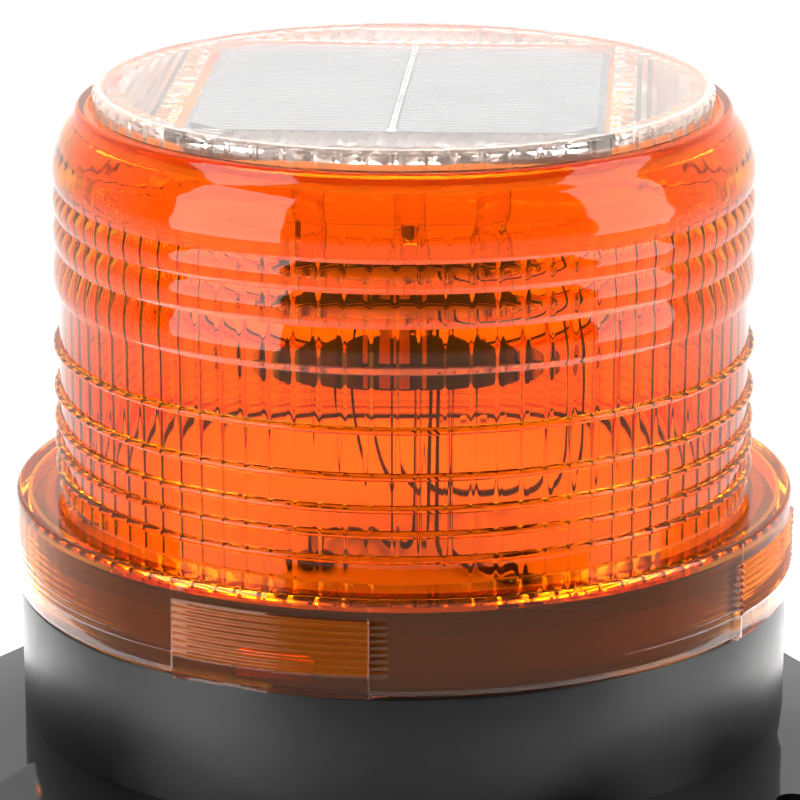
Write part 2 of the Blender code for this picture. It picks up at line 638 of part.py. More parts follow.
def add_battery():
    low = PLATE_T + GAP
    corner = (TRAY_X - TRAY_SIZE[0] / 2.0, -TRAY_SIZE[1] / 2.0, low)
    tray = part("battery_tray", boxes_mesh("battery_tray", [box_at(TRAY_SIZE, corner)]), "black_satin")
    hollow_size = (TRAY_SIZE[0] - 2.0 * TRAY_WALL, TRAY_SIZE[1] - 2.0 * TRAY_WALL, TRAY_SIZE[2])
    hollow = boxes_mesh("tray_hollow", [box_at(hollow_size, [value + TRAY_WALL for value in corner])])
    combine(tray, cutter("tray_hollow", hollow), "DIFFERENCE")

    cell_z = low + TRAY_WALL + GAP + CELL_R
    contact_face = hollow_size[1] / 2.0 - GAP - CONTACT_T
    total = CELL_LENGTH + CELL_NUB_LENGTH
    outline = [
        (0.0, total),
        (CELL_NUB_R, total),
        (CELL_NUB_R, CELL_LENGTH),
        (CELL_R - 0.6 * MM, CELL_LENGTH),
        (CELL_R, CELL_LENGTH - 0.6 * MM),
        (CELL_R, 0.6 * MM),
        (CELL_R - 0.6 * MM, 0.0),
        (0.0, 0.0),
    ]
    for number, side in ((1, -1.0), (2, 1.0)):
        # The nub of cell 1 points to +Y and the nub of cell 2 to -Y.
        x = TRAY_X + side * CELL_SPACING / 2.0
        mesh = turned_mesh("battery_cell", outline, False, SMALL_STEPS)
        mesh.transform(Matrix.Rotation(side * math.pi / 2.0, 4, "X"))
        mesh.transform(Matrix.Translation((x, side * (total - contact_face + GAP), cell_z)))
        part("battery_cell_%d" % number, mesh, "cell_wrap")
        turns = 3
        points = turns * 6
        coil = []
        for step in range(points + 1):
            share = step / points
            angle = 2.0 * math.pi * turns * share
            radius = (4.6 - 1.8 * share) * MM
            along = side * (contact_face - 0.7 * MM - (SPRING_LENGTH - 0.8 * MM) * share)
            coil.append(Vector((x + radius * math.cos(angle), along, cell_z + radius * math.sin(angle))))
        add_tube("battery_spring_%d" % number, coil, 0.3 * MM, "steel")

    contact_low = low + TRAY_WALL + GAP
    tall = (12.0 * MM, CONTACT_T, 11.2 * MM)
    bridge = (27.5 * MM, CONTACT_T, 9.0 * MM)
    corner = (TRAY_X - bridge[0] / 2.0, -contact_face - CONTACT_T, contact_low)
    part("contact_bridge", boxes_mesh("contact_bridge", [box_at(bridge, corner)]), "tinned")
    for number, side in ((1, -1.0), (2, 1.0)):
        corner = (TRAY_X + side * CELL_SPACING / 2.0 - tall[0] / 2.0, contact_face, contact_low)
        name = "contact_tab_%d" % number
        part(name, boxes_mesh(name, [box_at(tall, corner)]), "tinned")


def add_switch():
    low = PLATE_T + GAP
    ear_corner = (SWITCH_X - SWITCH_EAR_SIZE[0] / 2.0, -SWITCH_EAR_SIZE[1] / 2.0, low)
    body = part("switch_body", boxes_mesh("switch_body", [box_at(SWITCH_EAR_SIZE, ear_corner)]), "steel")
    can_corner = (SWITCH_X - SWITCH_BODY_SIZE[0] / 2.0, -SWITCH_BODY_SIZE[1] / 2.0 + 0.2 * MM, low + 0.2 * MM)
    can_size = (SWITCH_BODY_SIZE[0], SWITCH_BODY_SIZE[1] - 0.4 * MM, SWITCH_BODY_SIZE[2])
    combine(body, cutter("switch_can", boxes_mesh("switch_can", [box_at(can_size, can_corner)])), "UNION")
    slot_x = KNOB_STEM_SIZE[0] + SWITCH_TRAVEL + 4.0 * GAP
    slot_y = KNOB_STEM_SIZE[1] + 4.0 * GAP
    slot_corner = (SWITCH_X - KNOB_STEM_SIZE[0] / 2.0 - 2.0 * GAP, -slot_y / 2.0, low - MM)
    slot = boxes_mesh("switch_slot", [box_at((slot_x, slot_y, 4.2 * MM), slot_corner)])
    combine(body, cutter("switch_slot", slot), "DIFFERENCE")
    spots = [(SWITCH_X + side * SWITCH_SCREW_OFFSET, 0.0, low - MM, low + 3.0 * MM, 1.3 * MM)
             for side in (-1.0, 1.0)]
    combine(body, cutter("switch_ear_holes", cylinders_mesh("switch_ear_holes", spots)), "DIFFERENCE")

    cap_corner = (SWITCH_X - KNOB_CAP_SIZE[0] / 2.0, -KNOB_CAP_SIZE[1] / 2.0, KNOB_LOW)
    knob_mesh = boxes_mesh("switch_knob", [box_at(KNOB_CAP_SIZE, cap_corner)])
    knob = part("switch_knob", knob_mesh, "white", KNOB)
    stem_size = (*KNOB_STEM_SIZE, 5.8 * MM)
    stem_corner = (SWITCH_X - stem_size[0] / 2.0, -stem_size[1] / 2.0, KNOB_LOW + 0.4 * MM)
    combine(knob, cutter("knob_stem", boxes_mesh("knob_stem", [box_at(stem_size, stem_corner)])), "UNION")


def add_base_wires():
    wire("led_lead_left", LED_LEAD_LEFT, WIRE_R, "wire_black")
    wire("led_lead_right", LED_LEAD_RIGHT, WIRE_R, "wire_black")
    wire("battery_lead_red", BATTERY_LEAD_RED, WIRE_R, "wire_red")
    wire("battery_lead_black", BATTERY_LEAD_BLACK, WIRE_R, "wire_black")
    wire("switch_lead", SWITCH_LEAD, SWITCH_WIRE_R, "wire_red")


# ---------------------------------------------------------------- head

def rib_outline():
    """Outer side of the lens wall, from the first valley down to the collar."""
    ribs = sorted(UPPER_RIB_CRESTS + UPPER_RIB_VALLEYS + LOWER_RIB_CRESTS + LOWER_RIB_VALLEYS, reverse=True)
    return [(radius * MM, z * MM) for z, radius in ribs]


def add_amber_lens():
    web_low = COLLAR_TOP - 1.8 * MM
    outline = [
        (MOUTH_R, LIP_TOP),
        (LIP_R - 0.4 * MM, LIP_TOP - 0.3 * MM),
        (LIP_R, LIP_TOP - 1.2 * MM),
        (52.4 * MM, 93.7 * MM),
    ]
    outline += rib_outline()
    outline += [
        (54.2 * MM, COLLAR_TOP),
        (COLLAR_R - 0.4 * MM, COLLAR_TOP),
        (COLLAR_R, COLLAR_TOP - 0.4 * MM),
        (COLLAR_R, COLLAR_BOTTOM),
        (COLLAR_BORE_R, COLLAR_BOTTOM),
        (COLLAR_BORE_R, web_low),
        (LENS_BORE_R, web_low),
        (LENS_BORE_R, 92.6 * MM),
        (48.4 * MM, LEDGE_TOP - 2.0 * MM),
        (LEDGE_R, LEDGE_TOP - 2.0 * MM),
        (LEDGE_R, LEDGE_TOP),
        (MOUTH_R, LEDGE_TOP),
    ]
    lens = part("amber_lens", turned_mesh("amber_lens", outline, True, ROUND_STEPS), "amber", HEAD)
    angles = [LUG_FIRST_ANGLE + 90.0 * quarter for quarter in range(4)]
    lugs = [radial_box(LUG_SIZE, LUG_MID_R, LUG_LOW, angle) for angle in angles]
    combine(lens, cutter("lens_lugs", boxes_mesh("lens_lugs", lugs)), "UNION")


def add_clear_cap():
    window_low = CAP_TOP - CAP_WINDOW_T
    outline = [
        (0.0, CAP_TOP),
        (CAP_R - 0.7 * MM, CAP_TOP),
        (CAP_R, CAP_TOP - 0.6 * MM),
        (CAP_R, CAP_RIM_LOW),
        (CAP_POCKET_R, CAP_RIM_LOW),
        (CAP_POCKET_R, window_low),
        (0.0, window_low),
    ]
    part("clear_top_cap", turned_mesh("clear_top_cap", outline, False, ROUND_STEPS), "clear", HEAD)


def cut_rectangle(x_low, x_high, y_half, inner_corner, outer_corner):
    """Rectangle with its corners cut off, smaller on the inner side."""
    return [
        (x_low + inner_corner, -y_half),
        (x_high - outer_corner, -y_half),
        (x_high, -y_half + outer_corner),
        (x_high, y_half - outer_corner),
        (x_high - outer_corner, y_half),
        (x_low + inner_corner, y_half),
        (x_low, y_half - inner_corner),
        (x_low, -y_half + inner_corner),
    ]


def add_solar_panel():
    cell_top = CAP_TOP - CAP_WINDOW_T - GAP
    cell_low = cell_top - CELL_T
    backing_top = cell_low - GAP
    half_x = PANEL_X / 2.0
    half_y = PANEL_Y / 2.0
    outline = cut_rectangle(-half_x, half_x, half_y, PANEL_CORNER, PANEL_CORNER)
    mesh = slab_mesh("panel_backing", outline, backing_top - BACKING_T, backing_top)
    part("panel_backing", mesh, "panel_black", HEAD)
    inner = BUS_HALF_WIDTH + GAP
    outline = cut_rectangle(inner, half_x - CELL_EDGE, half_y - CELL_EDGE, 0.5 * MM, CELL_CORNER)
    part("solar_cell_right", slab_mesh("solar_cell_right", outline, cell_low, cell_top), "cell_blue", HEAD)
    mirrored = [(-x, y) for x, y in reversed(outline)]
    part("solar_cell_left", slab_mesh("solar_cell_left", mirrored, cell_low, cell_top), "cell_blue", HEAD)
    size = (2.0 * BUS_HALF_WIDTH, PANEL_Y - 2.0 * CELL_EDGE, CELL_T)
    strip = boxes_mesh("panel_bus_strip", [box_at(size, (-BUS_HALF_WIDTH, -size[1] / 2.0, cell_low))])
    part("panel_bus_strip", strip, "tinned", HEAD)
    return backing_top - BACKING_T


def add_led_drum(panel_underside):
    plate_low = DRUM_TOP - DRUM_WALL
    outline = [
        (0.0, DRUM_TOP),
        (DRUM_R, DRUM_TOP),
        (DRUM_R, DRUM_LOW),
        (DRUM_R - DRUM_WALL, DRUM_LOW),
        (DRUM_R - DRUM_WALL, plate_low),
        (0.0, plate_low),
    ]
    drum = part("led_drum", turned_mesh("led_drum", outline, False, ROUND_STEPS), "panel_black", HEAD)
    board_high = plate_low - GAP
    board_low = board_high - BOARD_T
    outline = [(0.0, board_high), (DRIVER_BOARD_R, board_high), (DRIVER_BOARD_R, board_low), (0.0, board_low)]
    board_mesh = turned_mesh("led_driver_board", outline, False, ROUND_STEPS // 2)
    board = part("led_driver_board", board_mesh, "board_green", HEAD)
    spots = hole_spots(SPACER_PITCH_R, SPACER_ANGLES, board_low - MM, DRUM_TOP + MM, 1.5 * MM)
    screw_holes = cutter("drum_holes", cylinders_mesh("drum_holes", spots, 12))
    combine(drum, screw_holes, "DIFFERENCE")
    combine(board, screw_holes, "DIFFERENCE")

    spacer_low = DRUM_TOP + GAP
    pilot_r = 1.5 * MM
    pilot_top = spacer_low + 6.0 * MM
    outline = [
        (0.0, panel_underside - GAP),
        (SPACER_R, panel_underside - GAP),
        (SPACER_R, spacer_low),
        (pilot_r, spacer_low),
        (pilot_r, pilot_top),
        (0.0, pilot_top),
    ]
    spacer = turned_mesh("panel_spacer", outline, False, 12)
    repeated_part("panel_spacer", spacer, ring_places(SPACER_PITCH_R, SPACER_ANGLES), "clear", HEAD)
    head_high = board_low - GAP
    screw = screw_mesh("drum_screw", 1.2 * MM, 2.2 * MM, head_high - 1.4 * MM, head_high, 72.4 * MM)
    repeated_part("drum_screw", screw, ring_places(SPACER_PITCH_R, SPACER_ANGLES), "steel", HEAD)

    inner = DRUM_R + GAP
    outer = inner + STRIP_T
    high = DRUM_TOP - 0.4 * MM
    low = DRUM_LOW + 0.4 * MM
    outline = [(outer, high), (outer, low), (inner, low), (inner, high)]
    part("led_strip", turned_mesh("led_strip", outline, True, ROUND_STEPS), "board_green", HEAD)
    led_mid_r = outer + GAP + LED_SIZE[0] / 2.0
    led_low = (high + low - LED_SIZE[2]) / 2.0
    led = boxes_mesh("led", [(LED_SIZE, Matrix.Translation((0.0, 0.0, led_low + LED_SIZE[2] / 2.0)))])
    angles = [360.0 * (number + 0.5) / LED_COUNT for number in range(LED_COUNT)]
    repeated_part("led", led, ring_places(led_mid_r, angles), "led_face", HEAD)


def add_jumper_wire():
    wire("panel_lead", PANEL_LEAD, WIRE_R, "wire_black", HEAD)


add_mounting_plate()
add_base_housing()
add_seals()
add_deck()
add_grommets()
add_fasteners()
add_control_board()
add_battery()
add_switch()
add_base_wires()
add_amber_lens()
add_clear_cap()
add_led_drum(add_solar_panel())
add_jumper_wire()
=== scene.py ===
"""Looks of the solar barricade warning light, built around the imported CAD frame.

Lengths are metres in the CAD frame: +Z up, the front towards -Y, the lens axis on Z.
"""
import json
import math

import bmesh
import bpy
import numpy as np
from mathutils import Matrix
from mathutils import Vector
from mathutils import geometry


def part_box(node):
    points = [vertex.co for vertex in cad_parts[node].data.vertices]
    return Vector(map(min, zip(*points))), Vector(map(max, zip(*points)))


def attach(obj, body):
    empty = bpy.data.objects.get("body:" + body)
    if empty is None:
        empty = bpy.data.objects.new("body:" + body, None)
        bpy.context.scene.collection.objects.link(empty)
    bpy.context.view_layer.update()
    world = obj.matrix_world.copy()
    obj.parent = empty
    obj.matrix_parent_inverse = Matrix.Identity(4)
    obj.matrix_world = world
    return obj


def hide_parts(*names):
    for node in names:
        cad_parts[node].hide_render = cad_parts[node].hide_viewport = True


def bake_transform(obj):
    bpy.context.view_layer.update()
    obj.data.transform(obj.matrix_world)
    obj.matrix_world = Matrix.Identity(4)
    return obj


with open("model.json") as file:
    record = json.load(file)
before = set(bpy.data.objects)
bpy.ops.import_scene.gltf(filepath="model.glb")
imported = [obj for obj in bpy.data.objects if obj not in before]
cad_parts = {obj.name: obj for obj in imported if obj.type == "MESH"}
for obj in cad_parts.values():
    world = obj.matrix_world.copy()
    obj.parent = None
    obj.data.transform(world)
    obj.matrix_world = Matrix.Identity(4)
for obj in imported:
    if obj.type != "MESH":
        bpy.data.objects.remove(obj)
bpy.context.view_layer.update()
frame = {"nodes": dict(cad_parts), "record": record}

MM = 0.001
LENS_LOW, LENS_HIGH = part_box("amber_lens")
CAP_LOW, CAP_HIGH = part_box("clear_top_cap")
HOUSING_LOW, HOUSING_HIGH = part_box("base_housing")
PANEL_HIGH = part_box("panel_backing")[1]
DRUM_LOW, DRUM_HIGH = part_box("led_drum")
STRIP_LOW, STRIP_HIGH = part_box("led_strip")
PLATE_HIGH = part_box("mounting_plate")[1]

COLLAR_R = LENS_HIGH.x
COLLAR_BOTTOM = LENS_LOW.z
COLLAR_HEIGHT = 14.65 * MM
COLLAR_TOP = COLLAR_BOTTOM + COLLAR_HEIGHT
LIP_TOP = LENS_HIGH.z
CAP_R = CAP_HIGH.x
CAP_TOP = CAP_HIGH.z

# Lens wall and its ribs, as heights above the collar's underside.
WALL_R = 52.95 * MM
BORE_R = 51.2 * MM
FLUTES = 86
FLUTE_HEIGHT = 0.2 * MM
FLUTE_SHARE = 0.44              # part of the pitch that a flute's ridge takes
FLUTE_TOP = 62.3 * MM
RIB_VALLEYS = (67.5, 62.0, 57.6, 52.5, 45.5)        # mm
RIB_CRESTS = ((64.6, 53.55), (60.0, 53.6), (55.2, 53.65), (48.6, 53.75))      # height, radius in mm
BEAD_HEIGHTS = (37.5, 30.6, 25.8, 22.0, 18.2)       # mm
BEAD_HALF = 0.62 * MM
BEAD_PROUD = 0.92 * MM
BEAD_FOOT = 1.3 * BEAD_HALF
FLUTE_POINTS = (-0.22, -0.16, -0.1, -0.035, 0.035, 0.1, 0.16, 0.22)      # shares of the pitch
LENS_STEPS = FLUTES * len(FLUTE_POINTS)

PAD_FIRST_ANGLE = -105.5        # degrees from +X to the middle of the front left grip pad
PAD_HALF_ANGLE = 14.6
PAD_RIBS = 8
PAD_RIB_PITCH = 1.04 * MM
PAD_RIB_LOW = 2.9 * MM
WALL_LINE_PROUD = 0.016 * MM    # the same lines, fainter, between the pads
PAD_RIB_PROUD = 0.4 * MM
PAD_RIB_TOP = PAD_RIB_LOW + PAD_RIB_PITCH * PAD_RIBS
PAD_STEPS = 6                   # outline points for each pad rib
SEAM_HALF_ANGLE = 0.5
SEAM_PROUD = 0.18 * MM
FLASH_PROUD = 0.12 * MM
FLASH_DROP = (0.35, 0.35, 0.9)  # mm: under a pad, ragged extra, under a seam
FLASH_SEED = 7

# Lens mouth, ledge and collar.
MOUTH_R = 47.65 * MM
LIP_OUTER_R = 49.1 * MM
LIP_ROUND = 0.8 * MM
LEDGE_R = 44.6 * MM
LEDGE_LOW = 70.9 * MM
LEDGE_TOP = 72.9 * MM
LEDGE_END_R = 49.0 * MM
COLLAR_BORE_R = 58.2 * MM
COLLAR_WEB = 1.8 * MM
COLLAR_ROUND = 0.5 * MM
LUG_SIZE = (1.8 * MM, 12.0 * MM, 2.5 * MM)
LUG_SPOT = (57.2 * MM, 0.0, 2.25 * MM)          # z above the collar's underside
LUG_ROUND = 0.25 * MM

# Clear cap.
CAP_TEETH = 70
TOOTH_SIZE = (0.26, 0.12)       # mm: smallest, random extra
TOOTH_SEED = 11
TOOTH_PROFILE = (0.0, 0.75, 0.95, 1.0, 1.0, 0.95, 0.75, 0.0)
CAP_STEPS = CAP_TEETH * len(TOOTH_PROFILE)
CAP_WINDOW_T = 2.3 * MM
CAP_POCKET_R = 45.0 * MM
PRISM_R = 43.4 * MM
SIDE_PRISM = (1.6 * MM, 0.42 * MM)      # pitch and depth
STRIP_PRISM = (2.8 * MM, 0.6 * MM)
PRISM_ASPECT = 0.8
CAP_BAR_X = (32.3 * MM, 33.9 * MM)
CAP_BAR_HALF = 0.6 * MM
CAP_BAR_DEPTH = 0.7 * MM
CAP_BAR_POINTS = 15
WINDOW_POINTS = 33

# Solar cell.
CELL_CORNER = 5.0 * MM
CELL_EDGE = 0.3 * MM
CELL_LINE_PITCH = 1.9 * MM
FINGERS = 34
FINGER_WIDTH = 0.12 * MM
FINGER_T = 0.03 * MM
BUS_RUNGS = 21
BUS_RAIL = 0.3 * MM
BUS_RUNG = 0.45 * MM
SOLDER_BLOB = (0.7, 0.7, 0.1)   # mm, half sizes

# Base.
PIECE_GAP = 0.3 * MM
NECK_R = 56.0 * MM
SEAL_GROOVE_R = 54.9 * MM
SEAL_GROOVE_Z = (35.4 * MM, 32.4 * MM)
SEAL_R = 56.55 * MM
SEAL_Z = 33.9 * MM
SEAL_SECTION_R = 1.3 * MM
HOUSING_BORE_R = 57.2 * MM
NECK_BORE_R = 52.2 * MM
NECK_FROM = 21.8 * MM
DECK_SEAT_R = 53.8 * MM
DECK_SEAT_Z = 33.1 * MM
HOUSING_EDGE = 0.6 * MM
BAYONET_BLOCKS = (              # mm: size, middle
    ((2.4, 16.0, 2.0), (56.2, 0.0, 29.6)),
    ((2.1, 2.0, 4.6), (56.2, -7.4, 26.4)),
)
PLATE_SCREWS = (53.0, (30.0, 150.0, 270.0))     # pitch radius in mm, degrees
DECK_SCREWS = (48.8, (80.0, 200.0, 320.0))
PLATE_BOSS = (6.6, 18.0, 4.6, 2.2)              # mm: low, high, radius, hole
DECK_BOSS = (24.0, 33.0, 4.0, 1.7)
GROMMET = (2.7 * MM, 2.5 * MM, 0.95 * MM)       # radii of the neck, the foot and the bore
GROMMET_LIP_R = 3.3 * MM
GROMMET_LIP_ROUND = 0.45 * MM

# Mounting plate.
EAR_ANGLES = (-30.0, 90.0, 210.0)
EAR_PITCH_R = 49.4 * MM
EAR_R = 38.6 * MM
EAR_POINTS = 49
EAR_HOLE_PITCH_R = 74.7 * MM
EAR_HOLE_TURN = 6.4             # degrees to either side of the ear's middle
EAR_HOLE_R = 2.5 * MM
HEAD_SINK = (2.2 * MM, 3.5 * MM)                # depth and radius around a plate screw's head
PLATE_EDGE = 0.9 * MM
SWITCH_WINDOW = ((11.0, 8.0, 6.0), (24.0, 0.0, 2.0))    # mm: size, middle

# LED drum and wires.
DRUM_WALL = 2.0 * MM
DRUM_HOLE_R = 1.0 * MM
DRUM_GROOVE = (3.0 * MM, 2.6 * MM, 1.6 * MM, 1.3 * MM)      # inwards from the drum's edge
DRUM_GROOVE_DEPTH = 0.4 * MM
DRUM_EDGE = (0.4 * MM, 0.3 * MM)                # rounding at the top and at the foot
LED_COUNT = 6
LED_SIZE = (1.0, 5.0, 3.5)                      # mm
LED_ROUND = 0.15 * MM
LED_FRAME = 0.4 * MM
LED_RECESS = 0.2 * MM
WIRE_R = 0.6 * MM

# Camera.
CAMERA_AZIMUTH = 3.57
CAMERA_DISTANCE = 669.5 * MM
CAMERA_ELEVATION = 16.158
CAMERA_TARGET = Vector((-0.6 * MM, 0.0, 51.34 * MM))
LENS_MM = 194.64
SENSOR_MM = 36.0

# Studio light.
CAMERA_WHITE = 1.1
BACK_ABOVE = 0.95
BACK_BELOW = 1.45
FRONT_SIDE = 0.04
FRONT_BELOW = 0.5
BACK_HEIGHTS = (-0.3, 0.3)      # upward share of the direction, from BACK_BELOW to BACK_ABOVE
FRONT_HEIGHTS = (-0.25, -0.05)  # the same, from FRONT_BELOW to FRONT_SIDE
FRONT_TO_BACK = (-0.1, 1.0)     # backward share of the direction
FLOOR_R = 120.0 * MM
FLOOR_DROP = 0.2 * MM
SOFTBOX_DISTANCE = 1.5
SOFTBOX_HEIGHTS = (-0.335, 1.5)
SOFTBOXES = (
    # name, degrees from the camera, width, watts
    ("left_softbox", -59.0, 1.06, 21.0),
    ("right_softbox", 78.0, 0.86, 15.0),
)
TOP_LIGHT = (0.8, 1.5, 8.0)     # width, height above the floor, watts
TOP_LIGHT_BACK = 0.2
BACK_LIGHTS = (("left_back_light", -162.0), ("right_back_light", 162.0))
BACK_LIGHT = (0.85, 1.05, 58.0)  # width, height above the floor and distance from the axis, watts


# ------------------------------------------------------------ materials

def node(tree, kind, **values):
    """Add a shader node and set its inputs by name."""
    made = tree.nodes.new(kind)
    for key, value in values.items():
        made.inputs[key.replace("_", " ")].default_value = value
    return made


def coordinates(tree, scale):
    place = tree.nodes.new("ShaderNodeTexCoord")
    mapping = tree.nodes.new("ShaderNodeMapping")
    mapping.inputs["Scale"].default_value = scale
    tree.links.new(place.outputs["Object"], mapping.inputs["Vector"])
    return mapping.outputs["Vector"]


def ramp(tree, source, low, high, low_at=0.35, high_at=0.65):
    """Blend two colours by a texture's value."""
    made = tree.nodes.new("ShaderNodeValToRGB")
    made.color_ramp.elements[0].position = low_at
    made.color_ramp.elements[1].position = high_at
    made.color_ramp.elements[0].color = (*low, 1.0)
    made.color_ramp.elements[1].color = (*high, 1.0)
    tree.links.new(source, made.inputs["Fac"])
    return made.outputs["Color"]


def spread(tree, source, low, high):
    made = node(tree, "ShaderNodeMapRange", To_Min=low, To_Max=high)
    tree.links.new(source, made.inputs["Value"])
    return made.outputs["Result"]


def noise(tree, scale, detail=4.0, stretch=(1.0, 1.0, 1.0)):
    made = node(tree, "ShaderNodeTexNoise", Scale=scale, Detail=detail)
    tree.links.new(coordinates(tree, stretch), made.inputs["Vector"])
    return made.outputs["Fac"]


def bump(tree, shader, source, strength, distance):
    made = node(tree, "ShaderNodeBump", Strength=strength, Distance=distance)
    tree.links.new(source, made.inputs["Height"])
    tree.links.new(made.outputs["Normal"], shader.inputs["Normal"])


def plastic(
    name, dark, light, rough, scale=300.0, bump_mm=0.02, metallic=0.0, stretch=(1.0, 1.0, 1.0), **sockets,
):
    """Principled surface whose colour, roughness and relief vary with noise."""
    material = bpy.data.materials.new(name)
    material.use_nodes = True
    tree = material.node_tree
    shader = tree.nodes["Principled BSDF"]
    grain = noise(tree, scale, stretch=stretch)
    cloud = noise(tree, scale / 12.0, 3.0)
    tree.links.new(ramp(tree, cloud, dark, light), shader.inputs["Base Color"])
    tree.links.new(spread(tree, cloud, rough[0], rough[1]), shader.inputs["Roughness"])
    shader.inputs["Metallic"].default_value = metallic
    bump(tree, shader, grain, 0.6, bump_mm * MM)
    for key, value in sockets.items():
        shader.inputs[key.replace("_", " ")].default_value = value
    return material


def cell_material():
    """Greyish silicon with pale conductor lines across it, under a clear coat."""
    material = bpy.data.materials.new("silicon_cell")
    material.use_nodes = True
    tree = material.node_tree
    shader = tree.nodes["Principled BSDF"]
    lines = node(tree, "ShaderNodeTexWave", Scale=0.5 / CELL_LINE_PITCH, Distortion=0.0)
    lines.bands_direction = "Y"
    tree.links.new(coordinates(tree, (1.0, 1.0, 1.0)), lines.inputs["Vector"])
    finger = ramp(tree, lines.outputs["Fac"], (0.0, 0.0, 0.0), (1.0, 1.0, 1.0), 0.94, 0.99)
    cloud = ramp(tree, noise(tree, 60.0), (0.1, 0.11, 0.14), (0.14, 0.15, 0.17))
    mixed = tree.nodes.new("ShaderNodeMix")
    mixed.data_type = "RGBA"
    tree.links.new(finger, mixed.inputs[0])
    tree.links.new(cloud, mixed.inputs[6])
    mixed.inputs[7].default_value = (0.16, 0.17, 0.2, 1.0)
    tree.links.new(mixed.outputs[2], shader.inputs["Base Color"])
    tree.links.new(spread(tree, noise(tree, 90.0), 0.04, 0.09), shader.inputs["Roughness"])
    shader.inputs["IOR"].default_value = 2.3
    shader.inputs["Coat Weight"].default_value = 1.0
    shader.inputs["Coat Roughness"].default_value = 0.03
    return material


AMBER = plastic(
    "amber_moulding", (1.0, 0.28, 0.006), (1.0, 0.3, 0.01), (0.03, 0.06), 90.0, 0.012,
    Transmission_Weight=0.97, IOR=1.49,
)
AMBER_SCATTER = plastic(
    "amber_pad_ribs", (1.0, 0.22, 0.012), (1.0, 0.27, 0.02), (0.09, 0.15), 500.0, 0.03,
    Transmission_Weight=0.72, IOR=1.49,
)
AMBER_MATTE = plastic(
    "amber_weld_seat", (0.9, 0.2, 0.01), (1.0, 0.25, 0.015), (0.6, 0.75), 500.0, 0.03,
    Transmission_Weight=0.5, IOR=1.49,
)
CLEAR_SCATTER = plastic(
    "clear_prisms", (0.93, 0.74, 0.64), (0.98, 0.82, 0.73), (0.06, 0.12), 300.0, 0.03,
    Transmission_Weight=0.8, IOR=1.49,
)
CLEAR = plastic(
    "clear_moulding", (0.97, 0.96, 0.95), (1.0, 0.99, 0.98), (0.02, 0.05), 120.0, 0.01,
    Transmission_Weight=0.98, IOR=1.49,
)
SATIN_BLACK = plastic(
    "satin_black_moulding", (0.004, 0.004, 0.0045), (0.007, 0.007, 0.0075), (0.32, 0.42), 2600.0, 0.03,
)
GLOSS_BLACK = plastic(
    "gloss_black_flange", (0.006, 0.006, 0.007), (0.011, 0.011, 0.012), (0.03, 0.09), 30.0, 0.2,
)
RUBBER = plastic("seal_rubber_skin", (0.012, 0.012, 0.012), (0.022, 0.022, 0.022), (0.6, 0.8), 1800.0, 0.03)
WHITE = plastic("white_moulding", (0.84, 0.83, 0.81), (0.9, 0.89, 0.87), (0.4, 0.55), 1200.0, 0.02)
PANEL_BLACK = plastic("panel_board", (0.008, 0.008, 0.01), (0.016, 0.016, 0.019), (0.2, 0.35), 900.0, 0.02)
# Painted light: a lighter grey for the drum's upward top faces, standing in for light falling on the top of
# the black drum.
DRUM_TOP_PAINTED_LIGHT = plastic("drum_top_painted_light", (0.3, 0.29, 0.27), (0.36, 0.35, 0.33), (0.4, 0.55), 1200.0, 0.02)
CELL = cell_material()
TINNED = plastic(
    "tinned_metal", (0.62, 0.62, 0.6), (0.8, 0.8, 0.77), (0.2, 0.38), 900.0, 0.02, 1.0, (1.0, 8.0, 1.0),
)
STEEL = plastic(
    "zinc_steel", (0.48, 0.48, 0.5), (0.66, 0.66, 0.66), (0.25, 0.42), 900.0, 0.02, 1.0, (1.0, 1.0, 6.0),
)
BOARD = plastic("solder_mask", (0.008, 0.09, 0.03), (0.012, 0.13, 0.045), (0.25, 0.4), 1500.0, 0.02)
COMPONENT = plastic("moulded_component", (0.016, 0.016, 0.016), (0.03, 0.03, 0.03), (0.4, 0.6), 2400.0, 0.02)
CAN = plastic(
    "aluminium_can", (0.66, 0.66, 0.68), (0.8, 0.8, 0.82), (0.2, 0.32), 800.0, 0.01, 1.0, (1.0, 1.0, 9.0),
)
WRAP = plastic("battery_wrap_film", (0.03, 0.16, 0.08), (0.05, 0.24, 0.12), (0.18, 0.32), 700.0, 0.02)
PHOSPHOR = plastic("led_phosphor", (0.75, 0.5, 0.1), (0.9, 0.66, 0.2), (0.25, 0.4), 2200.0, 0.02)
LED_WHITE = plastic("led_package", (0.7, 0.7, 0.68), (0.82, 0.82, 0.8), (0.35, 0.5), 2000.0, 0.01)
WIRE_BLACK = plastic(
    "wire_sleeve_black", (0.01, 0.01, 0.01), (0.022, 0.022, 0.022), (0.32, 0.46), 1500.0, 0.02,
)
WIRE_RED = plastic("wire_sleeve_red", (0.4, 0.01, 0.008), (0.55, 0.02, 0.014), (0.32, 0.46), 1500.0, 0.02)
FLOOR = plastic("studio_floor", (0.86, 0.86, 0.86), (0.9, 0.9, 0.9), (0.5, 0.6), 20.0, 0.01)


# ------------------------------------------------------------ mesh helpers

def new_object(name, mesh, material, smooth_angle=35.0):
    obj = bpy.data.objects.new(name, mesh)
    bpy.context.scene.collection.objects.link(obj)
    mesh.materials.clear()
    mesh.materials.append(material)
    smoothed(obj, smooth_angle)
    return obj


def smoothed(obj, angle=35.0):
    obj.data.shade_smooth()
    obj.data.set_sharp_from_angle(angle=math.radians(angle))


def block_matrix(size, middle):
    """Turns a unit cube into a block; size and middle are in mm."""
    return Matrix.Translation(Vector(middle) * MM) @ Matrix.Diagonal((*(Vector(size) * MM), 1.0))


def place(obj, body, slot, *replaced):
    """Let a piece ride on a body and stand for CAD nodes. The slot argument is not used."""
    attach(obj, body)
    if replaced:
        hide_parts(*replaced)
    return obj


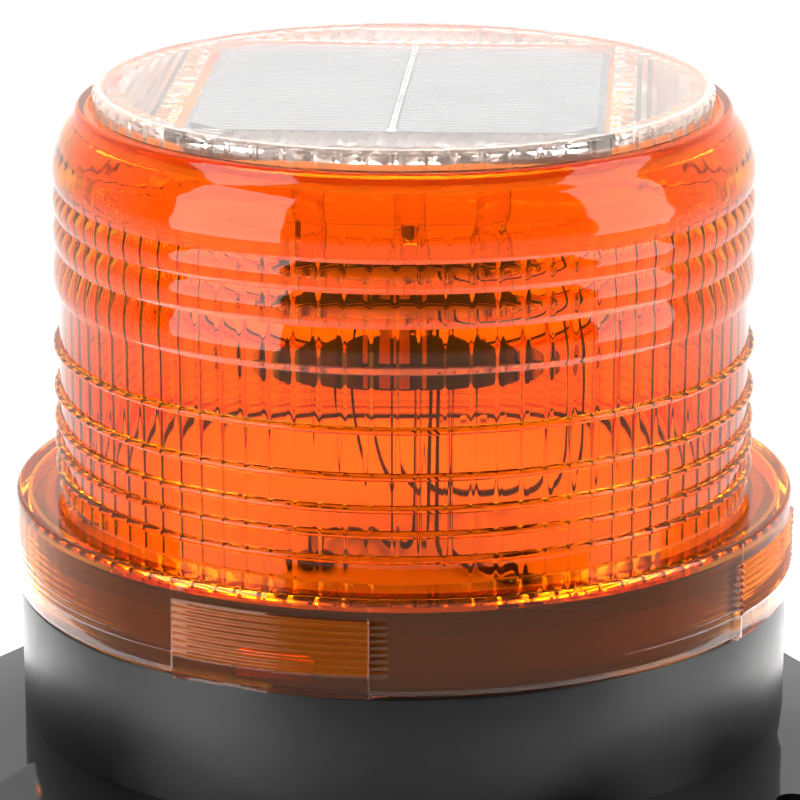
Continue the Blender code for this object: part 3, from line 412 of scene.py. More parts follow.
def lathe_grid(radii, heights, angles):
    """Points of shape (outline, step, 3) from radii and heights, which may vary by step."""
    radii = np.broadcast_to(radii, (radii.shape[0], len(angles)))
    heights = np.broadcast_to(heights, radii.shape)
    return np.stack([radii * np.cos(angles), radii * np.sin(angles), heights], axis=2)


def grid_mesh(name, grid, closed=True):
    """Mesh of a turned grid. The outline runs down its outer side and closes if asked."""
    rows, steps = grid.shape[:2]
    index = np.arange(rows * steps).reshape(rows, steps)
    last = rows if closed else rows - 1
    here = index[np.arange(last)]
    below = index[(np.arange(last) + 1) % rows]
    faces = np.stack([here, below, np.roll(below, -1, 1), np.roll(here, -1, 1)], axis=2).reshape(-1, 4)
    mesh = bpy.data.meshes.new(name)
    mesh.from_pydata(grid.reshape(-1, 3).tolist(), [], faces.tolist())
    mesh.update()
    return mesh


def turned(name, outline, material, steps=192, closed=True):
    """Plain turned piece from (radius, height) points in metres."""
    angles = np.linspace(0.0, 2.0 * math.pi, steps, endpoint=False)
    points = np.array(outline, float)
    grid = lathe_grid(points[:, :1], points[:, 1:], angles)
    mesh = grid_mesh(name, grid, closed)
    if not closed:
        welded = bmesh.new()
        welded.from_mesh(mesh)
        bmesh.ops.remove_doubles(welded, verts=welded.verts, dist=1e-7)
        bmesh.ops.holes_fill(welded, edges=welded.edges, sides=0)
        welded.to_mesh(mesh)
        welded.free()
    return new_object(name, mesh, material)


def arc(centre, radius, start, end, count):
    """Points on a circle in the (radius, height) plane, angles in degrees."""
    return [(centre[0] + radius * math.cos(math.radians(a)), centre[1] + radius * math.sin(math.radians(a)))
            for a in np.linspace(start, end, count)]


def applied(obj):
    """Replace an object's mesh by its evaluated one, without modifiers."""
    bpy.context.view_layer.update()
    evaluated = obj.evaluated_get(bpy.context.evaluated_depsgraph_get())
    mesh = bpy.data.meshes.new_from_object(evaluated)
    obj.modifiers.clear()
    obj.data = mesh
    return obj


def smooth_route(points, steps):
    """Points along a smooth curve through the given ones."""
    stops = [Vector(point) for point in points]
    stops = [2.0 * stops[0] - stops[1]] + stops + [2.0 * stops[-1] - stops[-2]]
    route = []
    for before, start, end, after in zip(stops, stops[1:], stops[2:], stops[3:]):
        for step in range(steps):
            t = step / steps
            route.append(0.5 * (
                2.0 * start
                + (end - before) * t
                + (2.0 * before - 5.0 * start + 4.0 * end - after) * t ** 2
                + (3.0 * start - before - 3.0 * end + after) * t ** 3
            ))
    route.append(stops[-2])
    return route


def tube(name, points_mm, radius, material, steps=8, sides=4):
    """Round wire along a smooth route, as a mesh."""
    curve = bpy.data.curves.new(name, "CURVE")
    curve.dimensions = "3D"
    curve.bevel_depth = radius
    curve.bevel_resolution = sides
    curve.use_fill_caps = True
    route = smooth_route([Vector(point) * MM for point in points_mm], steps)
    spline = curve.splines.new("POLY")
    spline.points.add(len(route) - 1)
    for point, spot in zip(spline.points, route):
        point.co = (*spot, 1.0)
    obj = bpy.data.objects.new(name, curve)
    bpy.context.scene.collection.objects.link(obj)
    bpy.context.view_layer.update()
    evaluated = obj.evaluated_get(bpy.context.evaluated_depsgraph_get())
    mesh = bpy.data.meshes.new_from_object(evaluated)
    bpy.data.objects.remove(obj)
    welded = bmesh.new()
    welded.from_mesh(mesh)
    bmesh.ops.remove_doubles(welded, verts=welded.verts, dist=1e-6)
    welded.to_mesh(mesh)
    welded.free()
    return new_object(name, mesh, material, 50.0)


# ------------------------------------------------------------ amber lens

def rib_points():
    """Convex upper ribs between sharp valleys, as (radius, height) above the collar's underside."""
    points = []
    for top, low, (crest_z, crest_r) in zip(RIB_VALLEYS, RIB_VALLEYS[1:], RIB_CRESTS):
        for z in np.linspace(top, low, 13)[:-1]:
            reach = (top - crest_z) if z > crest_z else (crest_z - low)
            share = (z - crest_z) / reach
            points.append((crest_r * MM - (crest_r * MM - WALL_R) * share * share, z * MM))
    return points


def bead_points():
    """Plain wall with narrow half-round beads, down to the collar."""
    points = [(WALL_R, RIB_VALLEYS[-1] * MM)]
    for height in BEAD_HEIGHTS:
        points.append((WALL_R, height * MM + BEAD_FOOT))
        for degrees in np.linspace(90.0, -90.0, 9):
            turn = math.radians(degrees)
            points.append((WALL_R + BEAD_PROUD * math.cos(turn), height * MM + BEAD_HALF * math.sin(turn)))
        points.append((WALL_R, height * MM - BEAD_FOOT))
    return points


def from_nearest_pad(degrees):
    """Angle from the middle of the nearest of the four grip pads."""
    return (degrees - PAD_FIRST_ANGLE + 45.0) % 90.0 - 45.0


def lens_outline():
    """Outline above the collar's underside, and the ranges of its points on the wall, rim and flutes."""
    lip = LIP_TOP - COLLAR_BOTTOM
    top = COLLAR_TOP - COLLAR_BOTTOM
    outer = [(MOUTH_R, lip - 0.15 * MM), (MOUTH_R + 0.15 * MM, lip), (LIP_OUTER_R, lip)]
    outer += arc((LIP_OUTER_R, lip - LIP_ROUND), LIP_ROUND, 80.0, 5.0, 4)
    outer += [(50.3 * MM, 72.6 * MM), (51.2 * MM, 71.4 * MM), (51.95 * MM, 70.2 * MM), (52.4 * MM, 69.1 * MM)]
    outer += rib_points() + bead_points()
    outer += [(WALL_R, top + 0.3 * MM), (53.3 * MM, top + 0.03 * MM), (54.1 * MM, top), (57.0 * MM, top)]
    outer += [(COLLAR_R - 0.7 * MM, top)]
    outer += arc((COLLAR_R - COLLAR_ROUND, top - COLLAR_ROUND), COLLAR_ROUND, 75.0, 10.0, 4)
    wall_from = len(outer)
    wall_heights = [top - 0.9 * MM, PAD_RIB_TOP + 0.3 * MM]
    wall_heights += list(np.linspace(PAD_RIB_TOP, PAD_RIB_LOW, PAD_RIBS * PAD_STEPS + 1))
    wall_heights += [PAD_RIB_LOW - 0.4 * MM, 0.9 * MM, 0.35 * MM]
    outer += [(COLLAR_R, height) for height in wall_heights]
    wall_to = len(outer)
    outer += [(COLLAR_R - 0.05 * MM, 0.0), (COLLAR_R - 0.3 * MM, 0.0)]
    web = top - COLLAR_WEB
    inner = [(COLLAR_BORE_R, 0.0), (COLLAR_BORE_R, web - 0.6 * MM), (COLLAR_BORE_R - 0.6 * MM, web)]
    inner += [(BORE_R + 0.7 * MM, web)]
    flute_from = len(outer) + len(inner)
    inner += [(BORE_R, height) for height in (web + 0.7 * MM, 30.0 * MM, 50.0 * MM, FLUTE_TOP)]
    flute_to = len(outer) + len(inner)
    inner += [(BORE_R, FLUTE_TOP + 0.6 * MM), (51.0 * MM, 66.5 * MM), (50.2 * MM, 69.0 * MM)]
    inner += [(48.4 * MM, LEDGE_LOW), (LEDGE_R, LEDGE_LOW), (LEDGE_R, LEDGE_TOP), (MOUTH_R, LEDGE_TOP)]
    return np.array(outer + inner, float), slice(wall_from, wall_to), wall_to, slice(flute_from, flute_to)


def lens_grid():
    outline, wall, flash, fluted = lens_outline()
    pitches = (np.arange(FLUTES)[:, None] + np.array(FLUTE_POINTS)[None, :]).ravel()
    angles = 2.0 * math.pi * pitches / FLUTES
    radii = np.repeat(outline[:, :1], LENS_STEPS, 1)
    heights = np.repeat(outline[:, 1:], LENS_STEPS, 1)
    from_ridge = np.clip(np.abs(pitches - np.round(pitches)) / (FLUTE_SHARE / 2.0), 0.0, 1.0)
    radii[fluted] -= FLUTE_HEIGHT * (0.5 + 0.5 * np.cos(math.pi * from_ridge))

    from_pad = from_nearest_pad(np.degrees(angles))
    inside = np.abs(from_pad) < PAD_HALF_ANGLE
    seam = np.abs(np.abs(from_pad) - PAD_HALF_ANGLE) < SEAM_HALF_ANGLE
    rows = heights[wall, 0]
    wave = 0.5 - 0.5 * np.cos(2.0 * math.pi * (rows - PAD_RIB_LOW) / PAD_RIB_PITCH)
    wave[(rows < PAD_RIB_LOW) | (rows > PAD_RIB_TOP)] = 0.0
    radii[wall] += np.outer(wave, np.where(inside, PAD_RIB_PROUD, WALL_LINE_PROUD))
    radii[wall] += np.outer(np.ones(len(rows)), seam * SEAM_PROUD)

    under_pad, ragged_extra, under_seam = FLASH_DROP
    rng = np.random.default_rng(FLASH_SEED)
    ragged = np.convolve(rng.random(LENS_STEPS), np.ones(3) / 3.0, "same")
    drop = np.where(inside, under_pad + ragged_extra * ragged, np.where(seam, under_seam, 0.0))
    heights[flash] -= drop * MM
    radii[flash] += np.where(inside | seam, FLASH_PROUD, 0.0)
    return lathe_grid(radii, heights + COLLAR_BOTTOM, angles)


def add_amber_lens():
    mesh = grid_mesh("amber_lens_shell", lens_grid())
    lens = new_object("amber_lens_shell", mesh, AMBER)
    mesh.materials.append(AMBER_SCATTER)
    mesh.materials.append(AMBER_MATTE)
    for polygon in mesh.polygons:
        spot = polygon.center
        radius = math.hypot(spot.x, spot.y)
        turn = from_nearest_pad(math.degrees(math.atan2(spot.y, spot.x)))
        height = spot.z - COLLAR_BOTTOM
        on_pad = abs(turn) < PAD_HALF_ANGLE and PAD_RIB_LOW < height < PAD_RIB_TOP
        if on_pad and radius > COLLAR_R - 0.1 * MM:
            polygon.material_index = 1
        if LEDGE_LOW - 0.9 * MM < height < LEDGE_TOP - 0.1 * MM and radius < LEDGE_END_R:
            polygon.material_index = 2
    place(lens, "head", "amber_plastic", "amber_lens")


def add_bayonet_lugs():
    lugs = bmesh.new()
    for quarter in range(4):
        turn = Matrix.Rotation(math.radians(PAD_FIRST_ANGLE + 90.0 * quarter), 4, "Z")
        spot = Matrix.Translation(Vector(LUG_SPOT) + Vector((0.0, 0.0, COLLAR_BOTTOM)))
        bmesh.ops.create_cube(lugs, size=1.0, matrix=turn @ spot @ Matrix.Diagonal((*LUG_SIZE, 1.0)))
    bmesh.ops.bevel(lugs, geom=lugs.edges[:], offset=LUG_ROUND, segments=2, affect="EDGES")
    mesh = bpy.data.meshes.new("bayonet_lugs")
    lugs.to_mesh(mesh)
    lugs.free()
    place(new_object("bayonet_lugs", mesh, AMBER), "head", "amber_plastic")


# ------------------------------------------------------------ clear cap

def prism_points():
    """Corners and tips of the prisms under the cap, as (x, y, depth)."""
    side_from = CAP_BAR_X[1] + 1.2 * MM
    points = []
    for pitch, deep, beside_panel in ((*SIDE_PRISM, True), (*STRIP_PRISM, False)):
        half = pitch / 2.0
        count = int(2.0 * PRISM_R / half) + 2
        for column in range(-count, count + 1):
            for row in range(-count, count + 1):
                x = column * half
                y = row * half * PRISM_ASPECT
                on_side = abs(x) > side_from
                on_strip = abs(y) > PANEL_HIGH.y + 0.5 * MM and abs(x) < PANEL_HIGH.x - MM
                chosen = on_side if beside_panel else on_strip
                if chosen and (column + row) % 2 == 0 and math.hypot(x, y) < PRISM_R:
                    points.append((x, y, deep if column % 2 == 0 else 0.0))
    return points


def bar_points():
    """Two straight ridges along each side of the panel."""
    points = []
    for x in CAP_BAR_X:
        reach = math.sqrt(PRISM_R ** 2 - x ** 2) - MM
        for side in (-1.0, 1.0):
            for offset, depth in ((-CAP_BAR_HALF, 0.0), (0.0, CAP_BAR_DEPTH), (CAP_BAR_HALF, 0.0)):
                for y in np.linspace(-reach, reach, CAP_BAR_POINTS):
                    points.append((side * (x + offset), y, depth))
    return points


def window_points():
    """Edge of the plain window over the solar panel."""
    wide = CAP_BAR_X[0] - 0.7 * MM
    long = PANEL_HIGH.y + 0.1 * MM
    columns = np.linspace(-wide, wide, WINDOW_POINTS)
    rows = np.linspace(-long, long, WINDOW_POINTS)[1:-1]
    across = [(x, side * long, 0.0) for x in columns for side in (-1.0, 1.0)]
    along = [(side * wide, y, 0.0) for y in rows for side in (-1.0, 1.0)]
    return across + along


def cap_grid(under):
    """The cap's flat edge and toothed rim, from the top round to the window's underside."""
    angles = np.linspace(0.0, 2.0 * math.pi, CAP_STEPS, endpoint=False)
    rng = np.random.default_rng(TOOTH_SEED)
    size = np.repeat(TOOTH_SIZE[0] + TOOTH_SIZE[1] * rng.random(CAP_TEETH), len(TOOTH_PROFILE)) * MM
    tooth = np.tile(TOOTH_PROFILE, CAP_TEETH) * size
    rows = [                        # radius, height, share of the teeth
        (CAP_R - 2.2 * MM, CAP_TOP, 0.0),
        (CAP_R - 1.5 * MM, CAP_TOP, 0.0),
        (CAP_R - 0.75 * MM, CAP_TOP - 0.1 * MM, 0.0),
        (CAP_R - 0.45 * MM, CAP_TOP - 0.5 * MM, 0.6),
        (CAP_R - 0.38 * MM, CAP_TOP - 0.9 * MM, 1.0),
        (CAP_R - 0.38 * MM, CAP_LOW.z + 0.4 * MM, 1.0),
        (CAP_R - 0.45 * MM, CAP_LOW.z, 0.0),
        (CAP_POCKET_R + 0.2 * MM, CAP_LOW.z, 0.0),
        (CAP_POCKET_R, CAP_LOW.z + 0.2 * MM, 0.0),
        (CAP_POCKET_R, under, 0.0),
    ]
    radii = np.array([[row[0]] * CAP_STEPS + row[2] * tooth for row in rows])
    heights = np.repeat(np.array([[row[1]] for row in rows]), CAP_STEPS, 1)
    return lathe_grid(radii, heights, angles)


def add_clear_cap():
    under = CAP_TOP - CAP_WINDOW_T
    grid = cap_grid(under)
    mesh = grid_mesh("clear_cap_shell", grid, False)
    shell = bmesh.new()
    shell.from_mesh(mesh)
    shell.verts.ensure_lookup_table()
    shell.faces.new([shell.verts[step] for step in range(CAP_STEPS)])

    rim = [(x, y) for x, y, _ in grid[-1]]
    inner = prism_points() + bar_points() + window_points()
    flat = [Vector(point) for point in rim] + [Vector(point[:2]) for point in inner]
    edges = [(step, (step + 1) % CAP_STEPS) for step in range(CAP_STEPS)]
    result = geometry.delaunay_2d_cdt(flat, edges, [], 1, 1e-7)
    base = len(shell.verts) - CAP_STEPS
    made = {}
    for number, (spot, sources) in enumerate(zip(result[0], result[3])):
        source = sources[0] if sources else None
        if source is not None and source < CAP_STEPS:
            made[number] = shell.verts[base + source]
        else:
            depth = 0.0 if source is None else inner[source - CAP_STEPS][2]
            made[number] = shell.verts.new((spot.x, spot.y, under - depth))
            shell.verts.ensure_lookup_table()
    for face in result[2]:
        shell.faces.new([made[corner] for corner in reversed(face)])
    bmesh.ops.recalc_face_normals(shell, faces=shell.faces)
    shell.to_mesh(mesh)
    shell.free()
    cap = new_object("clear_cap_shell", mesh, CLEAR, 12.0)
    mesh.materials.append(CLEAR_SCATTER)
    for polygon in mesh.polygons:
        spot = polygon.center
        on_top = spot.z > CAP_TOP - 0.05 * MM
        over_panel = abs(spot.x) < CAP_BAR_X[0] - 0.8 * MM and abs(spot.y) < PANEL_HIGH.y
        if not on_top and not over_panel:
            polygon.material_index = 1
    place(cap, "head", "clear_plastic", "clear_top_cap")


# ------------------------------------------------------------ base

def housing_outline():
    foot = HOUSING_LOW.z
    top = HOUSING_HIGH.z
    reach = HOUSING_HIGH.x
    seat = COLLAR_BOTTOM - PIECE_GAP
    groove_top, groove_low = SEAL_GROOVE_Z
    outline = arc((NECK_R - 0.5 * MM, top - 0.5 * MM), 0.5 * MM, 90.0, 0.0, 5)
    outline += [(NECK_R, groove_top), (SEAL_GROOVE_R, groove_top), (SEAL_GROOVE_R, groove_low)]
    outline += [(NECK_R, groove_low), (NECK_R, seat + 0.3 * MM), (NECK_R + 0.3 * MM, seat)]
    outline += arc((reach - HOUSING_EDGE, seat - HOUSING_EDGE), HOUSING_EDGE, 90.0, 0.0, 6)
    outline += [(reach - 0.05 * MM, (foot + seat) / 2.0), (reach - 0.1 * MM, foot + 0.2 * MM)]
    outline += [(reach - 0.3 * MM, foot), (HOUSING_BORE_R, foot), (HOUSING_BORE_R, NECK_FROM)]
    outline += [(NECK_BORE_R, NECK_FROM), (NECK_BORE_R, DECK_SEAT_Z), (DECK_SEAT_R, DECK_SEAT_Z)]
    outline += [(DECK_SEAT_R, top - 0.3 * MM), (DECK_SEAT_R + 0.3 * MM, top)]
    return outline


def add_housing():
    housing = turned("base_housing_shell", housing_outline(), SATIN_BLACK, 256)
    extra = bmesh.new()
    extra.from_mesh(housing.data)
    for quarter in range(4):
        turn = Matrix.Rotation(math.radians(PAD_FIRST_ANGLE + 90.0 * quarter), 4, "Z")
        for size, middle in BAYONET_BLOCKS:
            bmesh.ops.create_cube(extra, size=1.0, matrix=turn @ block_matrix(size, middle))
    for (pitch, places), (low, high, radius, hole) in ((PLATE_SCREWS, PLATE_BOSS), (DECK_SCREWS, DECK_BOSS)):
        for degrees in places:
            steps = np.linspace(0.0, 2.0 * math.pi, 32, endpoint=False)
            ring = np.array([[radius, high], [radius, low], [hole, low], [hole, high]]) * MM
            boss = grid_mesh("boss", lathe_grid(ring[:, :1], ring[:, 1:], steps))
            turn = Matrix.Rotation(math.radians(degrees), 4, "Z")
            boss.transform(turn @ Matrix.Translation((pitch * MM, 0.0, 0.0)))
            extra.from_mesh(boss)
    extra.to_mesh(housing.data)
    extra.free()
    smoothed(housing)
    place(housing, "base", "satin_black", "base_housing")


def plate_outline():
    """Three round ears joined by straight edges."""
    points = []
    for middle in EAR_ANGLES:
        centre = Vector((math.cos(math.radians(middle)), math.sin(math.radians(middle)))) * EAR_PITCH_R
        for degrees in np.linspace(middle - 60.0, middle + 60.0, EAR_POINTS):
            turn = math.radians(degrees)
            points.append(centre + Vector((math.cos(turn), math.sin(turn))) * EAR_R)
    return points


def drill(tools, pitch, degrees, low, high, radius):
    """Add a round cutter on the given pitch radius."""
    turn = math.radians(degrees)
    spot = Matrix.Translation((pitch * math.cos(turn), pitch * math.sin(turn), (low + high) / 2.0))
    bmesh.ops.create_cone(
        tools, cap_ends=True, segments=40, radius1=radius, radius2=radius, depth=high - low, matrix=spot,
    )


def plate_cutters():
    """Object with the ear holes, the sinks for the screw heads and the switch window."""
    tools = bmesh.new()
    for middle in EAR_ANGLES:
        for side in (-EAR_HOLE_TURN, EAR_HOLE_TURN):
            drill(tools, EAR_HOLE_PITCH_R, middle + side, -MM, PLATE_HIGH.z + MM, EAR_HOLE_R)
    pitch, places = PLATE_SCREWS
    depth, radius = HEAD_SINK
    for degrees in places:
        drill(tools, pitch * MM, degrees, -MM, depth, radius)
    bmesh.ops.create_cube(tools, size=1.0, matrix=block_matrix(*SWITCH_WINDOW))
    mesh = bpy.data.meshes.new("plate_tools")
    tools.to_mesh(mesh)
    tools.free()
    cutters = bpy.data.objects.new("plate_tools", mesh)
    bpy.context.scene.collection.objects.link(cutters)
    return cutters


def add_plate():
    plate = bmesh.new()
    face = plate.faces.new([plate.verts.new((point.x, point.y, 0.0)) for point in plate_outline()])
    sides = bmesh.ops.extrude_face_region(plate, geom=[face])
    tops = [item for item in sides["geom"] if isinstance(item, bmesh.types.BMVert)]
    bmesh.ops.translate(plate, verts=tops, vec=(0.0, 0.0, PLATE_HIGH.z))
    bmesh.ops.recalc_face_normals(plate, faces=plate.faces)
    mesh = bpy.data.meshes.new("flange_plate")
    plate.to_mesh(mesh)
    plate.free()
    obj = new_object("flange_plate", mesh, GLOSS_BLACK)
    edges = obj.modifiers.new("Edges", "BEVEL")
    edges.width = PLATE_EDGE
    edges.segments = 4
    edges.limit_method = "ANGLE"
    edges.angle_limit = math.radians(60.0)
    cutters = plate_cutters()
    cut = obj.modifiers.new("Holes", "BOOLEAN")
    cut.operation = "DIFFERENCE"
    cut.object = cutters
    applied(obj)
    bpy.data.objects.remove(cutters)
    smoothed(obj)
    place(obj, "base", "gloss_black", "mounting_plate")


def add_seals():
    outline = arc((SEAL_R, SEAL_Z), SEAL_SECTION_R, 0.0, -337.5, 16)
    place(turned("neck_o_ring", outline, RUBBER), "base", "seal_rubber", "lens_seal")
    neck, foot, bore = GROMMET
    for number in (1, 2):
        low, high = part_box("wire_grommet_%d" % number)
        middle = (low + high) / 2.0
        lip = high.z - 2.0 * GROMMET_LIP_ROUND
        outline = arc((GROMMET_LIP_R, lip + GROMMET_LIP_ROUND), GROMMET_LIP_ROUND, 80.0, -80.0, 7)
        outline += [(neck, lip - 0.05 * MM), (neck, low.z + 0.3 * MM), (foot, low.z), (bore, low.z)]
        outline += [(bore, high.z - 0.1 * MM), (bore + 0.15 * MM, high.z)]
        grommet = turned("grommet_%d" % number, outline, RUBBER, 48)
        grommet.data.transform(Matrix.Translation((middle.x, middle.y, 0.0)))
        place(grommet, "base", "seal_rubber", "wire_grommet_%d" % number)


# ------------------------------------------------------------ inside the lens

def drum_outline():
    """Inverted cup with a groove in its top."""
    radius = DRUM_HIGH.x
    top = DRUM_HIGH.z
    foot = DRUM_LOW.z
    groove = [radius - inset for inset in DRUM_GROOVE]
    top_edge, foot_edge = DRUM_EDGE
    outline = [(DRUM_HOLE_R, top), (groove[0], top), (groove[1], top - DRUM_GROOVE_DEPTH)]
    outline += [(groove[2], top - DRUM_GROOVE_DEPTH), (groove[3], top)]
    outline += arc((radius - top_edge, top - top_edge), top_edge, 90.0, 0.0, 4)
    outline += arc((radius - foot_edge, foot + foot_edge), foot_edge, 0.0, -90.0, 4)
    outline += [(radius - DRUM_WALL, foot), (radius - DRUM_WALL, top - DRUM_WALL)]
    outline += [(DRUM_HOLE_R, top - DRUM_WALL)]
    return outline


def add_led_drum():
    drum = turned("led_drum_shell", drum_outline(), PANEL_BLACK, 128)
    # Painted light: the flat top faces that face up get the lighter grey, while the sides and the groove stay
    # black.
    drum.data.materials.append(DRUM_TOP_PAINTED_LIGHT)
    for face in drum.data.polygons:
        if face.normal.z > 0.9 and face.center.z > DRUM_HIGH.z - 0.1 * MM:
            face.material_index = 1
    place(drum, "head", "satin_black", "led_drum")
    inner = DRUM_HIGH.x + PIECE_GAP
    outer = STRIP_HIGH.x
    outline = [(outer, STRIP_HIGH.z), (outer, STRIP_LOW.z), (inner, STRIP_LOW.z), (inner, STRIP_HIGH.z)]
    place(turned("led_flex_strip", outline, BOARD, 128), "head", "circuit_board", "led_strip")
    for number in range(1, LED_COUNT + 1):
        add_led(number)


def add_led(number):
    """Surface-mounted LED: a white frame with a phosphor window that faces outwards."""
    low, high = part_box("led_%d" % number)
    middle = (low + high) / 2.0
    turn = Matrix.Rotation(math.atan2(middle.y, middle.x), 4, "Z")
    spot = Matrix.Translation(middle) @ turn
    body = bmesh.new()
    bmesh.ops.create_cube(body, size=1.0, matrix=block_matrix(LED_SIZE, (0.0, 0.0, 0.0)))
    bmesh.ops.bevel(body, geom=body.edges[:], offset=LED_ROUND, segments=2, affect="EDGES")
    front = max(body.faces, key=lambda face: face.calc_center_median().x)
    bmesh.ops.inset_individual(body, faces=[front], thickness=LED_FRAME, depth=-LED_RECESS)
    bmesh.ops.transform(body, matrix=spot, verts=body.verts)
    mesh = bpy.data.meshes.new("led_package_%d" % number)
    body.to_mesh(mesh)
    body.free()
    package = new_object("led_package_%d" % number, mesh, LED_WHITE, 25.0)
    mesh.materials.append(PHOSPHOR)
    centre = spot @ Vector((0.5 * LED_SIZE[0] * MM - LED_RECESS, 0.0, 0.0))
    window = min(mesh.polygons, key=lambda face: (face.center - centre).length)
    window.material_index = 1
    place(package, "head", "led_face", "led_%d" % number)


# ------------------------------------------------------------ solar cell

def add_cells():
    for name in ("solar_cell_left", "solar_cell_right"):
        add_cell(name)


def add_cell(name):
    """Half of the cell: a thin plate with two cut corners and fine conductor fingers on it."""
    low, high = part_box(name)
    inner, outer = (low.x, high.x) if high.x > 0.0 else (high.x, low.x)
    way = math.copysign(1.0, outer)
    corners = [(inner, low.y), (outer - way * CELL_CORNER, low.y), (outer, low.y + CELL_CORNER)]
    corners += [(x, -y) for x, y in reversed(corners)]
    plate = bmesh.new()
    face = plate.faces.new([plate.verts.new((x, y, low.z)) for x, y in corners])
    lifted = bmesh.ops.extrude_face_region(plate, geom=[face])
    tops = [item for item in lifted["geom"] if isinstance(item, bmesh.types.BMVert)]
    bmesh.ops.translate(plate, verts=tops, vec=(0.0, 0.0, high.z - low.z - FINGER_T))
    bmesh.ops.recalc_face_normals(plate, faces=plate.faces)
    for number in range(FINGERS):
        y = low.y + (high.y - low.y) * (number + 0.5) / FINGERS
        cut = max(0.0, abs(y) - (high.y - CELL_CORNER))
        start = inner + way * CELL_EDGE
        end = outer - way * (cut + CELL_EDGE)
        size = Matrix.Diagonal((abs(end - start), FINGER_WIDTH, FINGER_T, 1.0))
        spot = Matrix.Translation(((start + end) / 2.0, y, high.z - FINGER_T / 2.0))
        bmesh.ops.create_cube(plate, size=1.0, matrix=spot @ size)
    mesh = bpy.data.meshes.new(name + "_plate")
    plate.to_mesh(mesh)
    plate.free()
    cell = new_object(name + "_plate", mesh, CELL, 20.0)
    mesh.materials.append(TINNED)
    largest_finger = 10.0 * MM * MM
    for polygon in mesh.polygons:
        if polygon.center.z > high.z - FINGER_T * 1.01 and polygon.area < largest_finger:
            polygon.material_index = 1
    place(cell, "head", "solar_cell", name)


def add_bus():
    """The strip down the middle of the panel: two thin rails with rungs and a blob of solder."""
    low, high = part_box("panel_bus_strip")
    middle = (low.x + high.x) / 2.0
    thick = high.z - low.z
    rail = (BUS_RAIL, high.y - low.y)
    bars = [(rail, (low.x + BUS_RAIL / 2.0, 0.0)), (rail, (high.x - BUS_RAIL / 2.0, 0.0))]
    for y in np.linspace(low.y + MM, high.y - MM, BUS_RUNGS):
        bars.append(((high.x - low.x, BUS_RUNG), (middle, y)))
    ladder = bmesh.new()
    for size, spot in bars:
        shape = Matrix.Translation((*spot, low.z + thick / 2.0)) @ Matrix.Diagonal((*size, thick, 1.0))
        bmesh.ops.create_cube(ladder, size=1.0, matrix=shape)
    blob = Matrix.Translation((middle, low.y + MM, high.z)) @ Matrix.Diagonal((*SOLDER_BLOB, 1.0))
    bmesh.ops.create_uvsphere(ladder, u_segments=16, v_segments=8, radius=MM, matrix=blob)
    mesh = bpy.data.meshes.new("panel_bus_ladder")
    ladder.to_mesh(mesh)
    ladder.free()
    place(new_object("panel_bus_ladder", mesh, TINNED, 30.0), "head", "plated_contact", "panel_bus_strip")


# ------------------------------------------------------------ wires inside the lens

# Routes in mm, as in the part.
LEAD_LEFT = (
    (4.4, -17.0, 62.5), (4.4, -17.2, 60.4), (4.4, -19.0, 56.0), (4.3, -21.5, 50.0), (4.2, -24.0, 43.0),
    (3.6, -25.6, 37.8), (1.4, -25.2, 36.1), (-1.3, -22.0, 35.95), (-4.0, -18.6, 35.95), (-8.0, -18.2, 36.0),
    (-10.6, -21.0, 36.6), (-11.2, -26.5, 38.2), (-11.2, -30.6, 38.6), (-11.2, -31.5, 36.6),
    (-11.2, -31.5, 33.0), (-10.8, -31.3, 30.6), (-6.0, -29.0, 28.8), (4.0, -24.5, 28.2),
    (12.4, -20.5, 28.2), (12.8, -17.0, 28.2),
)
LEAD_RIGHT = (
    (6.8, -17.0, 62.5), (6.8, -17.2, 60.4), (6.8, -19.2, 56.0), (6.8, -22.5, 49.0), (6.8, -26.0, 42.0),
    (7.2, -28.6, 37.4), (9.6, -30.6, 36.05), (12.6, -34.0, 35.95), (15.2, -37.8, 36.6), (18.4, -40.4, 38.2),
    (19.6, -40.6, 36.6), (19.6, -40.6, 33.0), (19.4, -39.6, 30.8), (18.4, -33.0, 28.9),
    (16.8, -25.0, 28.3), (16.2, -17.0, 28.2),
)
PANEL_LEAD = (
    (7.0, -14.0, 68.2), (6.9, -13.4, 70.6), (7.6, -9.8, 73.4), (12.0, -2.8, 74.4), (19.6, -1.4, 73.4),
    (25.4, -1.2, 69.0), (26.8, -1.2, 62.0), (27.2, -1.4, 52.0), (26.6, -1.8, 44.0), (22.6, -2.0, 39.2),
    (14.0, -2.0, 37.4), (4.6, -2.0, 37.9), (-2.6, -2.0, 41.4), (-7.0, -2.0, 48.0), (-8.4, -2.0, 56.0),
    (-8.6, -2.0, 62.4),
)


def add_wires():
    for name, route in (("led_lead_left", LEAD_LEFT), ("led_lead_right", LEAD_RIGHT)):
        lead = tube(name + "_sleeve", route, WIRE_R, WIRE_BLACK)
        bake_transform(lead)
        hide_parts(name)
    place(tube("panel_lead_sleeve", PANEL_LEAD, WIRE_R, WIRE_BLACK), "head", "wire_black", "panel_lead")


# ------------------------------------------------------------ CAD nodes that stay

def dress_nodes():
    """Give every CAD node that still shows a detailed material for its slot."""
    by_slot = {
        "amber_plastic": AMBER,
        "clear_plastic": CLEAR,
        "gloss_black": GLOSS_BLACK,
        "satin_black": SATIN_BLACK,
        "seal_rubber": RUBBER,
        "white_plastic": WHITE,
        "panel_black": PANEL_BLACK,
        "solar_cell": CELL,
        "plated_contact": TINNED,
        "screw_steel": STEEL,
        "switch_steel": STEEL,
        "circuit_board": BOARD,
        "component_black": COMPONENT,
        "capacitor_can": CAN,
        "battery_wrap": WRAP,
        "led_face": PHOSPHOR,
        "wire_black": WIRE_BLACK,
        "wire_red": WIRE_RED,
    }
    slots = {entry["node"]: entry["material_slot"] for entry in frame["record"]["subparts"]}
    for name, obj in frame["nodes"].items():
        obj.data.materials.clear()
        obj.data.materials.append(by_slot[slots[name]])


# ------------------------------------------------------------ stage

